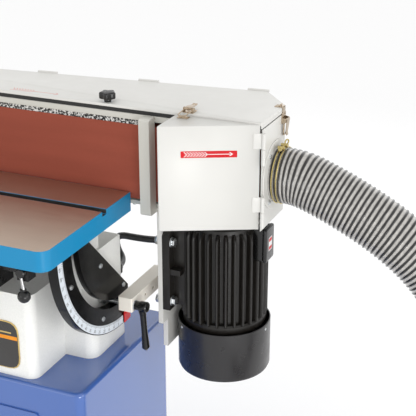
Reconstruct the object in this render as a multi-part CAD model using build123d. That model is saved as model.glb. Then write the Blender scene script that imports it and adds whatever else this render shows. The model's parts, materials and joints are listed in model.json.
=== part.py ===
from build123d import *
from math import asin, atan2, cos, degrees, hypot, pi, radians, sin, tan
import os

# Edge sander: a 6 in belt stands on its edge and runs along X between a driven drum on the right
# and an idler on the left.  +X runs along the belt, -Y faces the operator, +Z is up and the floor
# is Z = 0.  The origin is the centre of the anchor bolts at the floor.

# ---- driving dimensions, mm ----
TABLE_Z = 965.0          # top of the work table at its lowest setting
BELT_WIDTH = 152.4       # 6 in abrasive belt
BELT_THICK = 1.2
BELT_Y = 50.0            # front face of the belt
BELT_LOW = TABLE_Z - 13.4
DRUM_X, DRUM_R = 456.0, 86.5
IDLER_X, IDLER_R = -472.0, 38.5
GAP = 0.3                # clearance between faces that move past each other
RUNNING = 0.05           # radial clearance of a pin in its bore

# head casing
FRAME_LOW, FRAME_TOP = TABLE_Z - 26.0, TABLE_Z - 18.0
RAIL_LOW, RAIL_TOP = TABLE_Z + 149.0, TABLE_Z + 161.0
LID_LIP, LID_UNDER, LID_TOP = RAIL_TOP + 8.5, RAIL_TOP + 11.5, RAIL_TOP + 14.0
HEAD_LEFT, HEAD_RIGHT = -420.0, 565.0
HEAD_FRONT = BELT_Y - 2.0
CORNER_Y = 176.0         # back end of the right end wall
BACK_X, BACK_Y = 501.0, 252.0    # corner between the chamfer and the slanted back
BACK_SLOPE = 0.103       # the back follows the belt's slanted return run
SHEET = 2.0

# tilt of the head about X
TILT_Y, TILT_Z = 47.0, 911.0
EAR_R, PIVOT_R = 20.0, 8.0
EAR_X = (175.0, 205.0)
LUG_X = (207.0, 220.0)

# trunnion quadrant
QUAD_X = (245.0, 265.0)
QUAD_R, SCALE_R = 243.0, 224.0
SLOT_R, SLOT_HALF = 181.5, 9.5
RING_R = SLOT_R - SLOT_HALF
SLOT_FROM, SLOT_TO = 179.0, 262.5
CLAMP_R, CLAMP_ANGLE = 178.0, 258.7      # place of the clamp bolt with the belt upright

# stand
BASE_X, BASE_Y, BASE_TOP = 300.0, 190.0, 634.0
ANCHOR_X, ANCHOR_Y, ANCHOR_R = 540.0, 320.0, 6.5
PED_TOP, TOWER_TOP = 815.0, 853.0
TOWER_Y = (-60.0, 86.0)
CAST_WALL = 12.0         # wall of the hollow pedestal casting
HINGE_XY = (-204.5, -194.5)

# table
TAB_X = (-408.0, 291.7)
TAB_Y = (-275.0, 47.0)
TAB_SKIN, TAB_EDGE, TAB_CORNER = 14.0, 40.0, 22.0
MITER_Y = (-68.0, -52.0)
MITER_DEPTH = 10.0
LOCK_X, LOCK_Z = 235.0, 914.0    # pivot of the table's clamp lever

# motor
MOTOR_Y = BELT_Y + DRUM_R + BELT_THICK + GAP
MOTOR_TOP, MOTOR_LOW, COWL_LOW = 915.0, 685.0, 575.0
FIN_R, CORE_R, COWL_R, FINS = 89.0, 77.0, 96.0, 30
PLATE_X = (347.0, 357.0)
FOOT_X = 373.0
BOLT_Z = (736.0, 865.0)

# dust port and hose
PORT_Y, PORT_Z, PORT_R = 122.0, 1018.0, 50.8
HOSE_R, HOSE_WALL = 54.0, 3.0
HOSE_ROUTE = [(627, 122, 1015), (718, 122, 987), (801, 122, 935), (868, 122, 864), (915, 122, 776),
              (949, 122, 629), (953, 120, 357), (956, 63, 218), (957, -43, 112), (955, -182, 54.5),
              (955, -330, 54.5)]
CABLE_R = 7.25
CABLE_ROUTE = [(230, 105.5, 770), (229, 125, 772), (222, 131, 790), (236, 130, 808), (267, 127, 817),
               (309, 122, 833), (343.5, 113, 844)]


# ---- shapes used again and again ----
def block(x, y, z):
    """A box between two limits on each axis."""
    size = [b - a for a, b in (x, y, z)]
    return Pos((x[0] + x[1]) / 2, (y[0] + y[1]) / 2, (z[0] + z[1]) / 2) * Box(*size)


def rod_x(x, y, z, radius):
    """A round bar along X."""
    return Pos((x[0] + x[1]) / 2, y, z) * Rot(0, 90, 0) * Cylinder(radius, x[1] - x[0])


def rod_y(x, y, z, radius):
    """A round bar along Y."""
    return Pos(x, (y[0] + y[1]) / 2, z) * Rot(90, 0, 0) * Cylinder(radius, y[1] - y[0])


def rod_z(x, y, z, radius):
    """A round bar along Z."""
    return Pos(x, y, (z[0] + z[1]) / 2) * Cylinder(radius, z[1] - z[0])


def prism(points, z):
    """A plan outline raised between two heights."""
    return extrude(Plane.XY.offset(z[0]) * Polygon(*points, align=None), z[1] - z[0], dir=(0, 0, 1))


def slab_x(sketch, x):
    """A side-view outline (Y, Z) carried along X."""
    return extrude(Plane.YZ.offset(x[0]) * sketch, x[1] - x[0], dir=(1, 0, 0))


def sector(radius, start, end):
    """A wedge of a circle about the tilt axis, in the side view; angles run from +Y towards +Z."""
    reach = radius * 1.7
    middle = (start + end) / 2
    corners = [(reach * cos(radians(a)), reach * sin(radians(a))) for a in (start, middle, end)]
    wedge = Polygon((0, 0), *corners, align=None)
    return Pos(TILT_Y, TILT_Z) * (Circle(radius) & wedge)


def polar(radius, angle):
    """The (Y, Z) point at a radius and an angle about the tilt axis."""
    return TILT_Y + radius * cos(radians(angle)), TILT_Z + radius * sin(radians(angle))


def hexagon_x(x, y, z, across):
    """A hexagonal head along X."""
    return extrude(Plane.YZ.offset(x[0]) * Pos(y, z) * RegularPolygon(across / 2, 6, major_radius=False),
                   x[1] - x[0])


def back_line(x, inset=0.0):
    """Y of the slanted back of the head at X, moved in by an inset."""
    return BACK_Y + BACK_SLOPE * (x - BACK_X) - inset


def head_plan(inset, right=HEAD_RIGHT):
    """Plan outline of the head casing, moved in from its outside by an inset."""
    slant = inset * 1.16
    return [(HEAD_LEFT + inset, HEAD_FRONT + inset), (right - inset, HEAD_FRONT + inset),
            (right - inset, CORNER_Y - inset * 0.4), (BACK_X - inset * 0.5, BACK_Y - slant),
            (HEAD_LEFT + inset, back_line(HEAD_LEFT, slant))]


def tube_along(points, radius, wall, name):
    """A tube along straight runs joined by tangent arcs."""
    runs = [hypot(*(b - a for a, b in zip(p, q))) for p, q in zip(points, points[1:])]
    radii = []
    for i in range(1, len(points) - 1):
        before = Vector(*points[i]) - Vector(*points[i - 1])
        after = Vector(*points[i + 1]) - Vector(*points[i])
        half_turn = radians(before.get_angle(after)) / 2
        radii.append(0.45 * min(runs[i - 1], runs[i]) / tan(half_turn))
    path = FilletPolyline(*points, radius=radii)
    face = Circle(radius) - Circle(radius - wall) if wall else Circle(radius)
    start = Plane(origin=path @ 0, z_dir=path % 0)
    tube = sweep(start * face, path=path)
    section = pi * (radius ** 2 - (radius - wall) ** 2) if wall else pi * radius ** 2
    print(name, "radii", [round(r) for r in radii], "length", round(path.length),
          "volume ratio", round(tube.volume / (section * path.length), 4))
    return tube


# ---- stand ----
def stand():
    """Steel cabinet, its door and latch, and the cast pedestal on top."""
    wall = 3.0
    cabinet = block((-BASE_X, BASE_X), (-BASE_Y, BASE_Y), (0, BASE_TOP))
    cabinet = fillet(cabinet.edges().filter_by(Axis.Z), 18)
    cabinet = fillet(cabinet.faces().sort_by(Axis.Z)[-1].edges(), 8)
    cavity = block((-BASE_X + wall, BASE_X - wall), (-BASE_Y + wall, BASE_Y - wall), (6, BASE_TOP - 4))
    cabinet -= fillet(cavity.edges().filter_by(Axis.Z), 18 - wall)
    door_x, door_z = (-190.0, 190.0), (90.0, 560.0)
    cabinet -= block(door_x, (-BASE_Y - 1, -BASE_Y + wall + 1), door_z)
    for x in (-ANCHOR_X / 2, ANCHOR_X / 2):
        for y in (-ANCHOR_Y / 2, ANCHOR_Y / 2):
            cabinet -= rod_z(x, y, (-1, 8), ANCHOR_R)

    door = block((door_x[0] - 12, door_x[1] + 12), (-BASE_Y - 3.5, -BASE_Y - GAP),
                 (door_z[0] - 12, door_z[1] + 12))
    door = fillet(door.edges().filter_by(Axis.Y), 8)
    for z in (door_z[0] + 1, door_z[1] - 4):
        door += block((door_x[0] + 1, door_x[1] - 1), (-BASE_Y - GAP, -BASE_Y + 5), (z, z + 3))
    for z in (150.0, 470.0):
        cabinet += block((HINGE_XY[0] - 20, HINGE_XY[0]), (-BASE_Y - 2, -BASE_Y + 1), (z - 20, z + 50))
        cabinet -= rod_z(*HINGE_XY, (z, z + 30), 5)
        for low, high in ((z - 20, z - GAP), (z + 30 + GAP, z + 50)):
            cabinet += rod_z(*HINGE_XY, (low, high), 4)
        cabinet += rod_z(*HINGE_XY, (z - 1, z + 31), 2)
        door += rod_z(*HINGE_XY, (z, z + 30), 4)
        door -= rod_z(*HINGE_XY, (z - 1, z + 31), 2 + RUNNING)
        for low, high in ((z - 20, z), (z + 30, z + 50)):
            door -= rod_z(*HINGE_XY, (low - GAP, high + GAP), 4.4)
    latch_x, latch_z = 150.0, 330.0
    door -= rod_y(latch_x, (-BASE_Y - 5, -BASE_Y + 1), latch_z, 8 + RUNNING)

    latch = rod_y(latch_x, (-BASE_Y - 9, -BASE_Y + 8), latch_z, 8)
    latch += rod_y(latch_x, (-BASE_Y - 12, -BASE_Y - 3.8), latch_z, 15)
    latch += block((latch_x - 3, latch_x + 3), (-BASE_Y - 24, -BASE_Y - 10), (latch_z - 20, latch_z + 20))
    latch += block((latch_x - 6, latch_x + 6), (-BASE_Y + 6, -BASE_Y + 9), (latch_z - 9, latch_z + 16))
    return {"base_cabinet": cabinet, "cabinet_door": door, "cabinet_latch": latch}


def pedestal():
    """Cast pedestal: a wide block, a tower at each end and the ears that carry the tilt pivots."""
    body = block((-210, 190), (-175, 55), (BASE_TOP, PED_TOP))
    body = fillet(body.edges().filter_by(Axis.Z), 20)
    for side in (-1, 1):
        span = sorted((side * 165.0, side * 257.0))
        tower = block(span, TOWER_Y, (BASE_TOP, TOWER_TOP))
        tower = fillet(tower.edges().filter_by(Axis.Z), 24)
        tower = fillet(tower.faces().sort_by(Axis.Z)[-1].edges(), 5)
        body += tower
        body += block(sorted((side * 178.0, side * 238.0)), (-42, 6), (TOWER_TOP - 10, 932))
        ear = sorted(side * x for x in EAR_X)
        body += block(ear, (TILT_Y - 30, TILT_Y + 8), (TOWER_TOP - 10, TILT_Z - 8))
        body += rod_x(ear, TILT_Y, TILT_Z, EAR_R)
        body -= rod_x((ear[0] - 5, ear[1] + 5), TILT_Y, TILT_Z, PIVOT_R)
    body = body - rod_x((QUAD_X[0] - 0.5, QUAD_X[1] + 10), TILT_Y, TILT_Z, QUAD_R + 1)
    body -= block((-210 + CAST_WALL, 190 - CAST_WALL), (-175 + CAST_WALL, 55 - CAST_WALL),
                  (BASE_TOP - 1, PED_TOP - CAST_WALL))
    for side in (-1, 1):
        hollow = sorted((side * (165 + CAST_WALL), side * 219.0))
        body -= block(hollow, (TOWER_Y[0] + CAST_WALL, TOWER_Y[1] - CAST_WALL),
                      (BASE_TOP - 1, TOWER_TOP - CAST_WALL))
    groove = sector(204, 172, 272) - Pos(TILT_Y, TILT_Z) * Circle(162)
    groove = slab_x(groove, (QUAD_X[0] - 12, QUAD_X[0]))
    return {"pedestal": body - groove}


def pivot_pins():
    """The two pins that the head tilts on."""
    pins = []
    for side in (-1, 1):
        pins.append(rod_x(sorted((side * 170.0, side * 224.0)), TILT_Y, TILT_Z, PIVOT_R))
    return {"pivot_pins": Compound(children=pins)}


def trunnion():
    """Quadrant casting with its clamp slot, the angle scale, the cover plate and their screws."""
    chord = [(66, 700), (66, 752), (-80, 902), (-200, 1025), (-300, 1025), (-300, 700)]
    cover = (Pos(TILT_Y, TILT_Z) * Circle(RING_R)) & Polygon(*chord, align=None)
    cover = cover & Pos(-100, 800) * Rectangle(400, 270)
    ring = sector(QUAD_R, 172, 277) - Pos(TILT_Y, TILT_Z) * Circle(RING_R)
    slot = sector(SLOT_R + SLOT_HALF, SLOT_FROM, SLOT_TO)
    slot -= Pos(TILT_Y, TILT_Z) * Circle(SLOT_R - SLOT_HALF)
    for angle in (SLOT_FROM, SLOT_TO):
        slot += Pos(*polar(SLOT_R, angle)) * Circle(SLOT_HALF)
    casting = slab_x(ring, QUAD_X) + slab_x(cover, (QUAD_X[1] - 8, QUAD_X[1]))
    casting -= slab_x(slot, (QUAD_X[0] - 1, QUAD_X[1] + 1))
    scale = sector(QUAD_R - 2, 180, 270) - Pos(TILT_Y, TILT_Z) * Circle(SCALE_R)
    scale = slab_x(scale, (QUAD_X[1], QUAD_X[1] + 1))
    plate = slab_x(cover, (QUAD_X[1], QUAD_X[1] + 5))
    plate -= slab_x(slot, (QUAD_X[1] - 1, QUAD_X[1] + 6))
    ring_screws = [rod_x((QUAD_X[1], QUAD_X[1] + 2.5), *polar(210, a), 5) for a in (200, 247)]
    plate_screws = [rod_x((QUAD_X[1] + 5, QUAD_X[1] + 7.5), y, z, 5) for y, z in ((-46, 840), (45, 760))]
    screws = Compound(children=ring_screws + plate_screws)
    return {"trunnion_quadrant": casting, "angle_scale": scale, "trunnion_cover": plate,
            "trunnion_screws": screws}


def fittings():
    """Badge, switch box with its two buttons, way for the table bracket and the cable gland."""
    badge = block((60, 158), (-177, -175), (650, 754))
    badge = fillet(badge.edges().filter_by(Axis.Y), 20)
    front = -175.0
    box = block((-186, -106), (front - 52, front), (664, 784))
    box = fillet(box.edges().filter_by(Axis.Y), 6)
    buttons = {}
    for name, z, radius in (("start_button", 752.0, 10.0), ("stop_button", 700.0, 16.0)):
        box -= rod_y(-146, (front - 53, front - 30), z, 7 + GAP)
        buttons[name] = rod_y(-146, (front - 66, front - 58.5), z, radius)
        buttons[name] += rod_y(-146, (front - 60, front - 39), z, 7)
    rails = [block(span, (front - 12, front), (655, 805)) for span in ((-62, -34), (6, 34))]
    gland_x, gland_z, wall = 230, 770, TOWER_Y[1]
    gland = rod_y(gland_x, (wall, wall + 18.5), gland_z, 12)
    gland += hexagon_y(gland_x, (wall, wall + 7), gland_z, 28)
    return {"name_badge": badge, "switch_box": box, **buttons, "slide_way": Compound(children=rails),
            "conduit_gland": gland}


def hexagon_y(x, y, z, across):
    """A hexagonal nut along Y."""
    outline = Plane.XZ.offset(-y[0]) * Pos(x, z) * RegularPolygon(across / 2, 6, major_radius=False)
    return extrude(outline, -(y[1] - y[0]))


# ---- table ----
def table():
    """Cast table, its bracket on the way, the height wheel and the clamp lever."""
    top = block(TAB_X, TAB_Y, (TABLE_Z - TAB_EDGE, TABLE_Z))
    corners = top.edges().filter_by(Axis.Z).sort_by(Axis.Y)[:2]
    top = fillet(corners, TAB_CORNER)
    top -= block((TAB_X[0] + 12, TAB_X[1] - 12), (TAB_Y[0] + 12, TAB_Y[1] + 1),
                 (TABLE_Z - TAB_EDGE - 1, TABLE_Z - TAB_SKIN))
    top -= block((TAB_X[0] - 1, TAB_X[1] + 1), MITER_Y, (TABLE_Z - MITER_DEPTH, TABLE_Z + 1))

    under = TABLE_Z - TAB_SKIN
    front = -187.0 - GAP
    bracket = block((-230, LOCK_X + 11), (-262, front - 12), (under - 40, under))
    bracket += block((-100, 72), (front - 26, front), (690, under - 30))
    for x in range(-220, 230, 50):
        bracket += block((x - 4, x + 4), (-262, front - 12), (under - 58, under - 30))
    bracket -= rod_y(150, (-263, -215), 885, 7 + RUNNING)
    housing = block((125, 175), (-262, front - 14), (866, 912))
    bracket += housing - rod_y(150, (-263, -215), 885, 7 + RUNNING)
    bracket += block((LOCK_X - 12, LOCK_X + 11), (-262, -236), (896, under - 39))
    bracket -= rod_y(LOCK_X, (-263, -235), LOCK_Z, 6 + RUNNING)

    wheel = rod_y(150, (-292, -216), 885, 7)
    wheel += rod_y(150, (-306, -290), 885, 17)
    for k in range(5):
        angle = radians(90 + 72 * k)
        wheel += rod_y(150 + 17 * cos(angle), (-306, -290), 885 + 17 * sin(angle), 9)

    lever = rod_y(LOCK_X, (-270, -237), LOCK_Z, 6) + rod_y(LOCK_X, (-272, -262 - GAP), LOCK_Z, 10)
    lever += Pos(LOCK_X + 2, -267, LOCK_Z - 21) * Rot(0, -5, 0) * Cylinder(4, 34)
    lever += Pos(LOCK_X + 4, -267, LOCK_Z - 45) * Sphere(12)
    return {"main_table": top, "table_bracket": bracket, "table_handwheel": wheel,
            "table_lock_lever": lever}


# ---- head ----
def head_frame():
    """Base casting under the belt with the pivot lugs, the top rail, the platen and its pad."""
    plan = [(HEAD_LEFT, HEAD_FRONT + 4), (HEAD_RIGHT - 2 * SHEET, HEAD_FRONT + 4),
            (HEAD_RIGHT - 2 * SHEET, CORNER_Y - 4), (BACK_X - 4, BACK_Y - 8),
            (HEAD_LEFT, back_line(HEAD_LEFT, 5))]
    base = prism(plan, (FRAME_LOW, FRAME_TOP))
    base -= rod_z(DRUM_X, MOTOR_Y, (FRAME_LOW - 1, FRAME_TOP + 1), 40)
    for side in (-1, 1):
        lug = sorted(side * x for x in LUG_X)
        base += block(lug, (TILT_Y + 5, TILT_Y + 18), (TILT_Z, FRAME_LOW + 1))
        base += rod_x(lug, TILT_Y, TILT_Z, 18)
        base -= rod_x((lug[0] - 1, lug[1] + 1), TILT_Y, TILT_Z, PIVOT_R + RUNNING)
    # upright wall between the two runs of the belt; the platen is bolted to its front
    base += block((-380, 318), (62, 70), (FRAME_TOP - 1, RAIL_LOW))
    for x in range(-330, 320, 160):
        base += block((x - 4, x + 4), (70, 96), (FRAME_TOP - 1, FRAME_TOP + 110))
    base += block((-560, -380), (66, 114), (FRAME_LOW, FRAME_TOP))
    platen_x = (-394.0, 325.0)
    platen = block(platen_x, (BELT_Y + 4.5, BELT_Y + 12), (BELT_LOW, RAIL_LOW))
    pad = block(platen_x, (BELT_Y + BELT_THICK + GAP, BELT_Y + 4.5), (BELT_LOW, RAIL_LOW))
    rail = block((HEAD_LEFT, 390), (HEAD_FRONT + 0.5, 72), (RAIL_LOW, RAIL_TOP))
    return {"head_frame": base, "platen": platen, "platen_pad": pad, "top_rail": rail}


def belt_outline(extra):
    """Loop round both drums, standing off their surfaces by an amount."""
    big, small = DRUM_R + extra, IDLER_R + extra
    idler_y = BELT_Y + IDLER_R + BELT_THICK + GAP
    span_x, span_y = DRUM_X - IDLER_X, MOTOR_Y - idler_y
    lean = atan2(span_y, span_x) + asin((big - small) / hypot(span_x, span_y))
    normal = (-sin(lean), cos(lean))
    back_big = (DRUM_X + big * normal[0], MOTOR_Y + big * normal[1])
    back_small = (IDLER_X + small * normal[0], idler_y + small * normal[1])
    front_big, front_small = (DRUM_X, MOTOR_Y - big), (IDLER_X, idler_y - small)
    edges = [Line(front_small, front_big),
             ThreePointArc(front_big, (DRUM_X + big, MOTOR_Y), back_big),
             Line(back_big, back_small),
             ThreePointArc(back_small, (IDLER_X - small, idler_y), front_small)]
    return make_face(edges)


def belt_drive():
    """Abrasive belt, driven drum, idler on its tension carriage, tension lever and tracking knob."""
    ring = belt_outline(GAP + BELT_THICK) - belt_outline(GAP)
    belt = extrude(Plane.XY.offset(BELT_LOW) * ring, BELT_WIDTH)
    low, high = BELT_LOW, BELT_LOW + BELT_WIDTH
    drum = rod_z(DRUM_X, MOTOR_Y, (low, high), DRUM_R)
    drum -= rod_z(DRUM_X, MOTOR_Y, (low + 30, high + 1), DRUM_R - 12)
    drum -= rod_z(DRUM_X, MOTOR_Y, (low - 1, high + 1), 12)
    drum += rod_z(DRUM_X, MOTOR_Y, (low, high - 40), 24) - rod_z(DRUM_X, MOTOR_Y, (low - 1, high), 12)
    shaft = rod_z(DRUM_X, MOTOR_Y, (600, high - 30), 12)

    idler_y = BELT_Y + IDLER_R + BELT_THICK + GAP
    idler = rod_z(IDLER_X, idler_y, (low, high), IDLER_R)
    idler -= rod_z(IDLER_X, idler_y, (low - 1, high + 1), 10 + RUNNING)
    carriage = block((-545, -400), (72, 108), (FRAME_TOP + GAP, low - GAP))
    carriage += rod_z(IDLER_X, idler_y, (low - 1, high + 6), 10)

    lever_x, lever_z = -500.0, FRAME_LOW - GAP
    lever = rod_z(lever_x, idler_y, (lever_z - 10, lever_z), 14)
    lever += block((lever_x - 8, lever_x + 8), (idler_y - 110, idler_y), (lever_z - 9, lever_z - 2))
    lever += Pos(lever_x, idler_y - 112, lever_z - 5.5) * Sphere(13)
    knob = rod_x((-600, -560.5), idler_y + 10, FRAME_TOP - 4, 4)
    knob += rod_x((-622, -590), idler_y + 10, FRAME_TOP - 4, 18)
    return {"abrasive_belt": belt, "drive_drum": drum, "motor_shaft": shaft, "idler_drum": idler,
            "idler_carriage": carriage, "tension_lever": lever, "tracking_knob": knob}


def casing():
    """Rear cover, hood walls round the drive end, guard over the idler and the work stop."""
    outer = prism(head_plan(0), (FRAME_LOW - 14, RAIL_TOP))
    inner = prism(head_plan(SHEET), (FRAME_LOW - 15, RAIL_TOP + 1))
    walls = outer - inner
    right = block((BACK_X, 600), (HEAD_FRONT + 4, 300), (FRAME_LOW - 14, RAIL_TOP))
    back = block((HEAD_LEFT + SHEET, BACK_X - 0.1), (130, 300), (FRAME_LOW - 14, RAIL_TOP - 4))
    hood = walls & right
    hood -= rod_x((HEAD_RIGHT - 5, HEAD_RIGHT + 5), PORT_Y, PORT_Z, PORT_R - SHEET)
    rear = walls & back
    guard = block((-530, HEAD_LEFT - 1), (44, 154), (RAIL_LOW, RAIL_LOW + SHEET))
    guard += block((-530, HEAD_LEFT - 1), (152, 154), (FRAME_LOW, RAIL_LOW + 1))
    guard = guard + block((HEAD_LEFT - 3, HEAD_LEFT - 1), (140, 154), (FRAME_LOW, RAIL_LOW + 1))
    stop = block((325, 347.6), (22, HEAD_FRONT + 0.5), (TABLE_Z - 35, RAIL_TOP))
    stop = fillet(stop.edges().filter_by(Axis.X).sort_by(Axis.Y)[:2], 6)
    stop += block((325, 347.6), (30, 75), (TABLE_Z - 35, FRAME_LOW))
    stop += block((325, 385), (52, 75), (TABLE_Z - 35, FRAME_LOW))
    return {"hood_shell": hood, "rear_cover": rear, "idler_guard": guard, "work_stop": stop}


def lid():
    """Folded lid with its seal and knob, the hinges on the back and the front latch base."""
    top = prism(head_plan(0), (LID_UNDER, LID_TOP))
    lip = prism(head_plan(0), (LID_LIP, LID_UNDER + 0.5))
    lip -= prism(head_plan(SHEET), (LID_LIP - 1, LID_TOP))
    back_strip = prism([(HEAD_LEFT - 5, back_line(HEAD_LEFT - 5, 6)), (BACK_X - 2, back_line(BACK_X - 2, 6)),
                        (BACK_X + 6, 300), (HEAD_LEFT - 5, 300)], (LID_LIP - 2, LID_UNDER))
    lid_body = top + (lip - back_strip)
    seal = prism(head_plan(SHEET + 0.2), (RAIL_TOP + GAP, LID_UNDER)) \
        - prism(head_plan(SHEET + 7), (RAIL_TOP - 1, LID_TOP))
    seal -= Pos(0, 0, -1.0) * back_strip
    seal &= block((HEAD_LEFT, 600), (0, 300), (RAIL_TOP + GAP, LID_UNDER))
    seal -= prism([(HEAD_LEFT - 5, back_line(HEAD_LEFT - 5, 12)), (BACK_X - 2, back_line(BACK_X - 2, 12)),
                   (BACK_X + 6, 300), (HEAD_LEFT - 5, 300)], (RAIL_TOP - 1, LID_TOP))

    knob_x, knob_y = 240.0, 62.0
    lid_body -= rod_z(knob_x, knob_y, (LID_LIP, LID_TOP + 1), 4 + RUNNING)
    seal -= rod_z(knob_x, knob_y, (RAIL_TOP, LID_TOP + 1), 6)
    knob = rod_z(knob_x, knob_y, (RAIL_TOP + 1, LID_TOP + 8), 4)
    knob += rod_z(knob_x, knob_y, (LID_TOP + GAP, LID_TOP + 7), 7)
    knob += rod_z(knob_x, knob_y, (LID_TOP + 6, LID_TOP + 20), 12)
    for k in range(5):
        angle = radians(90 + 72 * k)
        lobe = rod_z(knob_x + 11 * cos(angle), knob_y + 11 * sin(angle), (LID_TOP + 6, LID_TOP + 20), 6)
        knob += lobe

    tilt = degrees(atan2(BACK_SLOPE, 1.0))
    hinges = []
    for x in (-212, 17, 245, 479):
        place = Pos(x, back_line(x) + 4.5, LID_TOP - 1) * Rot(0, 0, tilt)
        leaf = place * (Pos(0, -2.5, -16) * Box(44, 2.0, 30))
        barrel = place * (Rot(0, 90, 0) * Cylinder(3.5, 44))
        hinges.append(leaf + barrel)
    base = block((397, 432), (51, 74), (LID_TOP, LID_TOP + 2))
    for x in (399, 428):
        base += block((x, x + 2), (53, 63), (LID_TOP + 1, LID_TOP + 11))
    hook = block((404, 425), (22, 50), (LID_TOP + 3, LID_TOP + 5))
    hook -= block((407, 422), (25, 47), (LID_TOP + 2, LID_TOP + 6))
    base += hook + block((399, 430), (48, 52.5), (LID_TOP + 1, LID_TOP + 5))
    lever = block((401.5, 427.5), (54, 88), (LID_TOP + 8.5, LID_TOP + 10.5))
    lever += rod_x((401.5, 427.5), 58, LID_TOP + 7, 2.5)
    return {"lid": lid_body, "lid_seal": seal, "lid_knob": knob, "lid_hinges": Compound(children=hinges),
            "front_latch_base": base, "front_latch_lever": lever}


def door():
    """Wedge-shaped hood door on its lift-off hinges, and the latch on the end wall."""
    low, high = FRAME_LOW - 9, LID_LIP + 2
    tip, corner = (HEAD_RIGHT - 3, HEAD_FRONT - 1), (392.0, -37.0)
    outline = [tip, (392.0, HEAD_FRONT), corner]
    inner = [(tip[0] - 9, HEAD_FRONT + 1), (394.0, HEAD_FRONT + 1), (394.0, -33.7)]
    shell = prism(outline, (low, high)) - prism(inner, (low + SHEET, high - SHEET))
    axis_x, axis_y, barrel = HEAD_RIGHT + 4.5, HEAD_FRONT - 1.0, 4.0
    hood_side = []
    for z in (934.0, 1059.0):
        middle = z + 31.0
        fixed = rod_z(axis_x, axis_y, (z, middle), barrel) + rod_z(axis_x, axis_y, (z, z + 58), 2)
        fixed += block((HEAD_RIGHT, HEAD_RIGHT + 2), (axis_y, axis_y + 18), (z, middle))
        hood_side.append(fixed)
        moving = rod_z(axis_x, axis_y, (middle + GAP, z + 62), barrel)
        leaf_z = (middle + GAP, z + 62)
        moving += block((HEAD_RIGHT - 20, axis_x), (HEAD_FRONT - 5.2, HEAD_FRONT - 3.2), leaf_z)
        moving += block((HEAD_RIGHT - 20, HEAD_RIGHT - 4), (HEAD_FRONT - 5.2, HEAD_FRONT), leaf_z)
        moving -= rod_z(axis_x, axis_y, (z, z + 58 + GAP), 2 + RUNNING)
        shell += moving
    latch_y, latch_z = 163.0, LID_TOP - 28
    base = block((HEAD_RIGHT, HEAD_RIGHT + 2), (latch_y - 10, latch_y + 10), (latch_z - 16, latch_z + 16))
    for y in (latch_y - 10, latch_y + 8):
        base += block((HEAD_RIGHT + 1, HEAD_RIGHT + 10), (y, y + 2), (latch_z - 4, latch_z + 8))
    hook_y = (latch_y - 5, latch_y + 5)
    base += block((HEAD_RIGHT + 4, HEAD_RIGHT + 6), hook_y, (latch_z + 12, LID_TOP - 1))
    base += block((HEAD_RIGHT + 1, HEAD_RIGHT + 6), hook_y, (latch_z + 12, latch_z + 15))
    lever = Pos(HEAD_RIGHT + 7, latch_y, latch_z + 3) * Rot(90, 0, 0) * Cylinder(2.5, 15)
    lever += block((HEAD_RIGHT + 8.5, HEAD_RIGHT + 10.5), (latch_y - 7.5, latch_y + 7.5),
                   (latch_z - 30, latch_z + 4))
    return {"door": shell, "door_hinges": Compound(children=hood_side), "end_latch_base": base,
            "end_latch_lever": lever}


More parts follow.
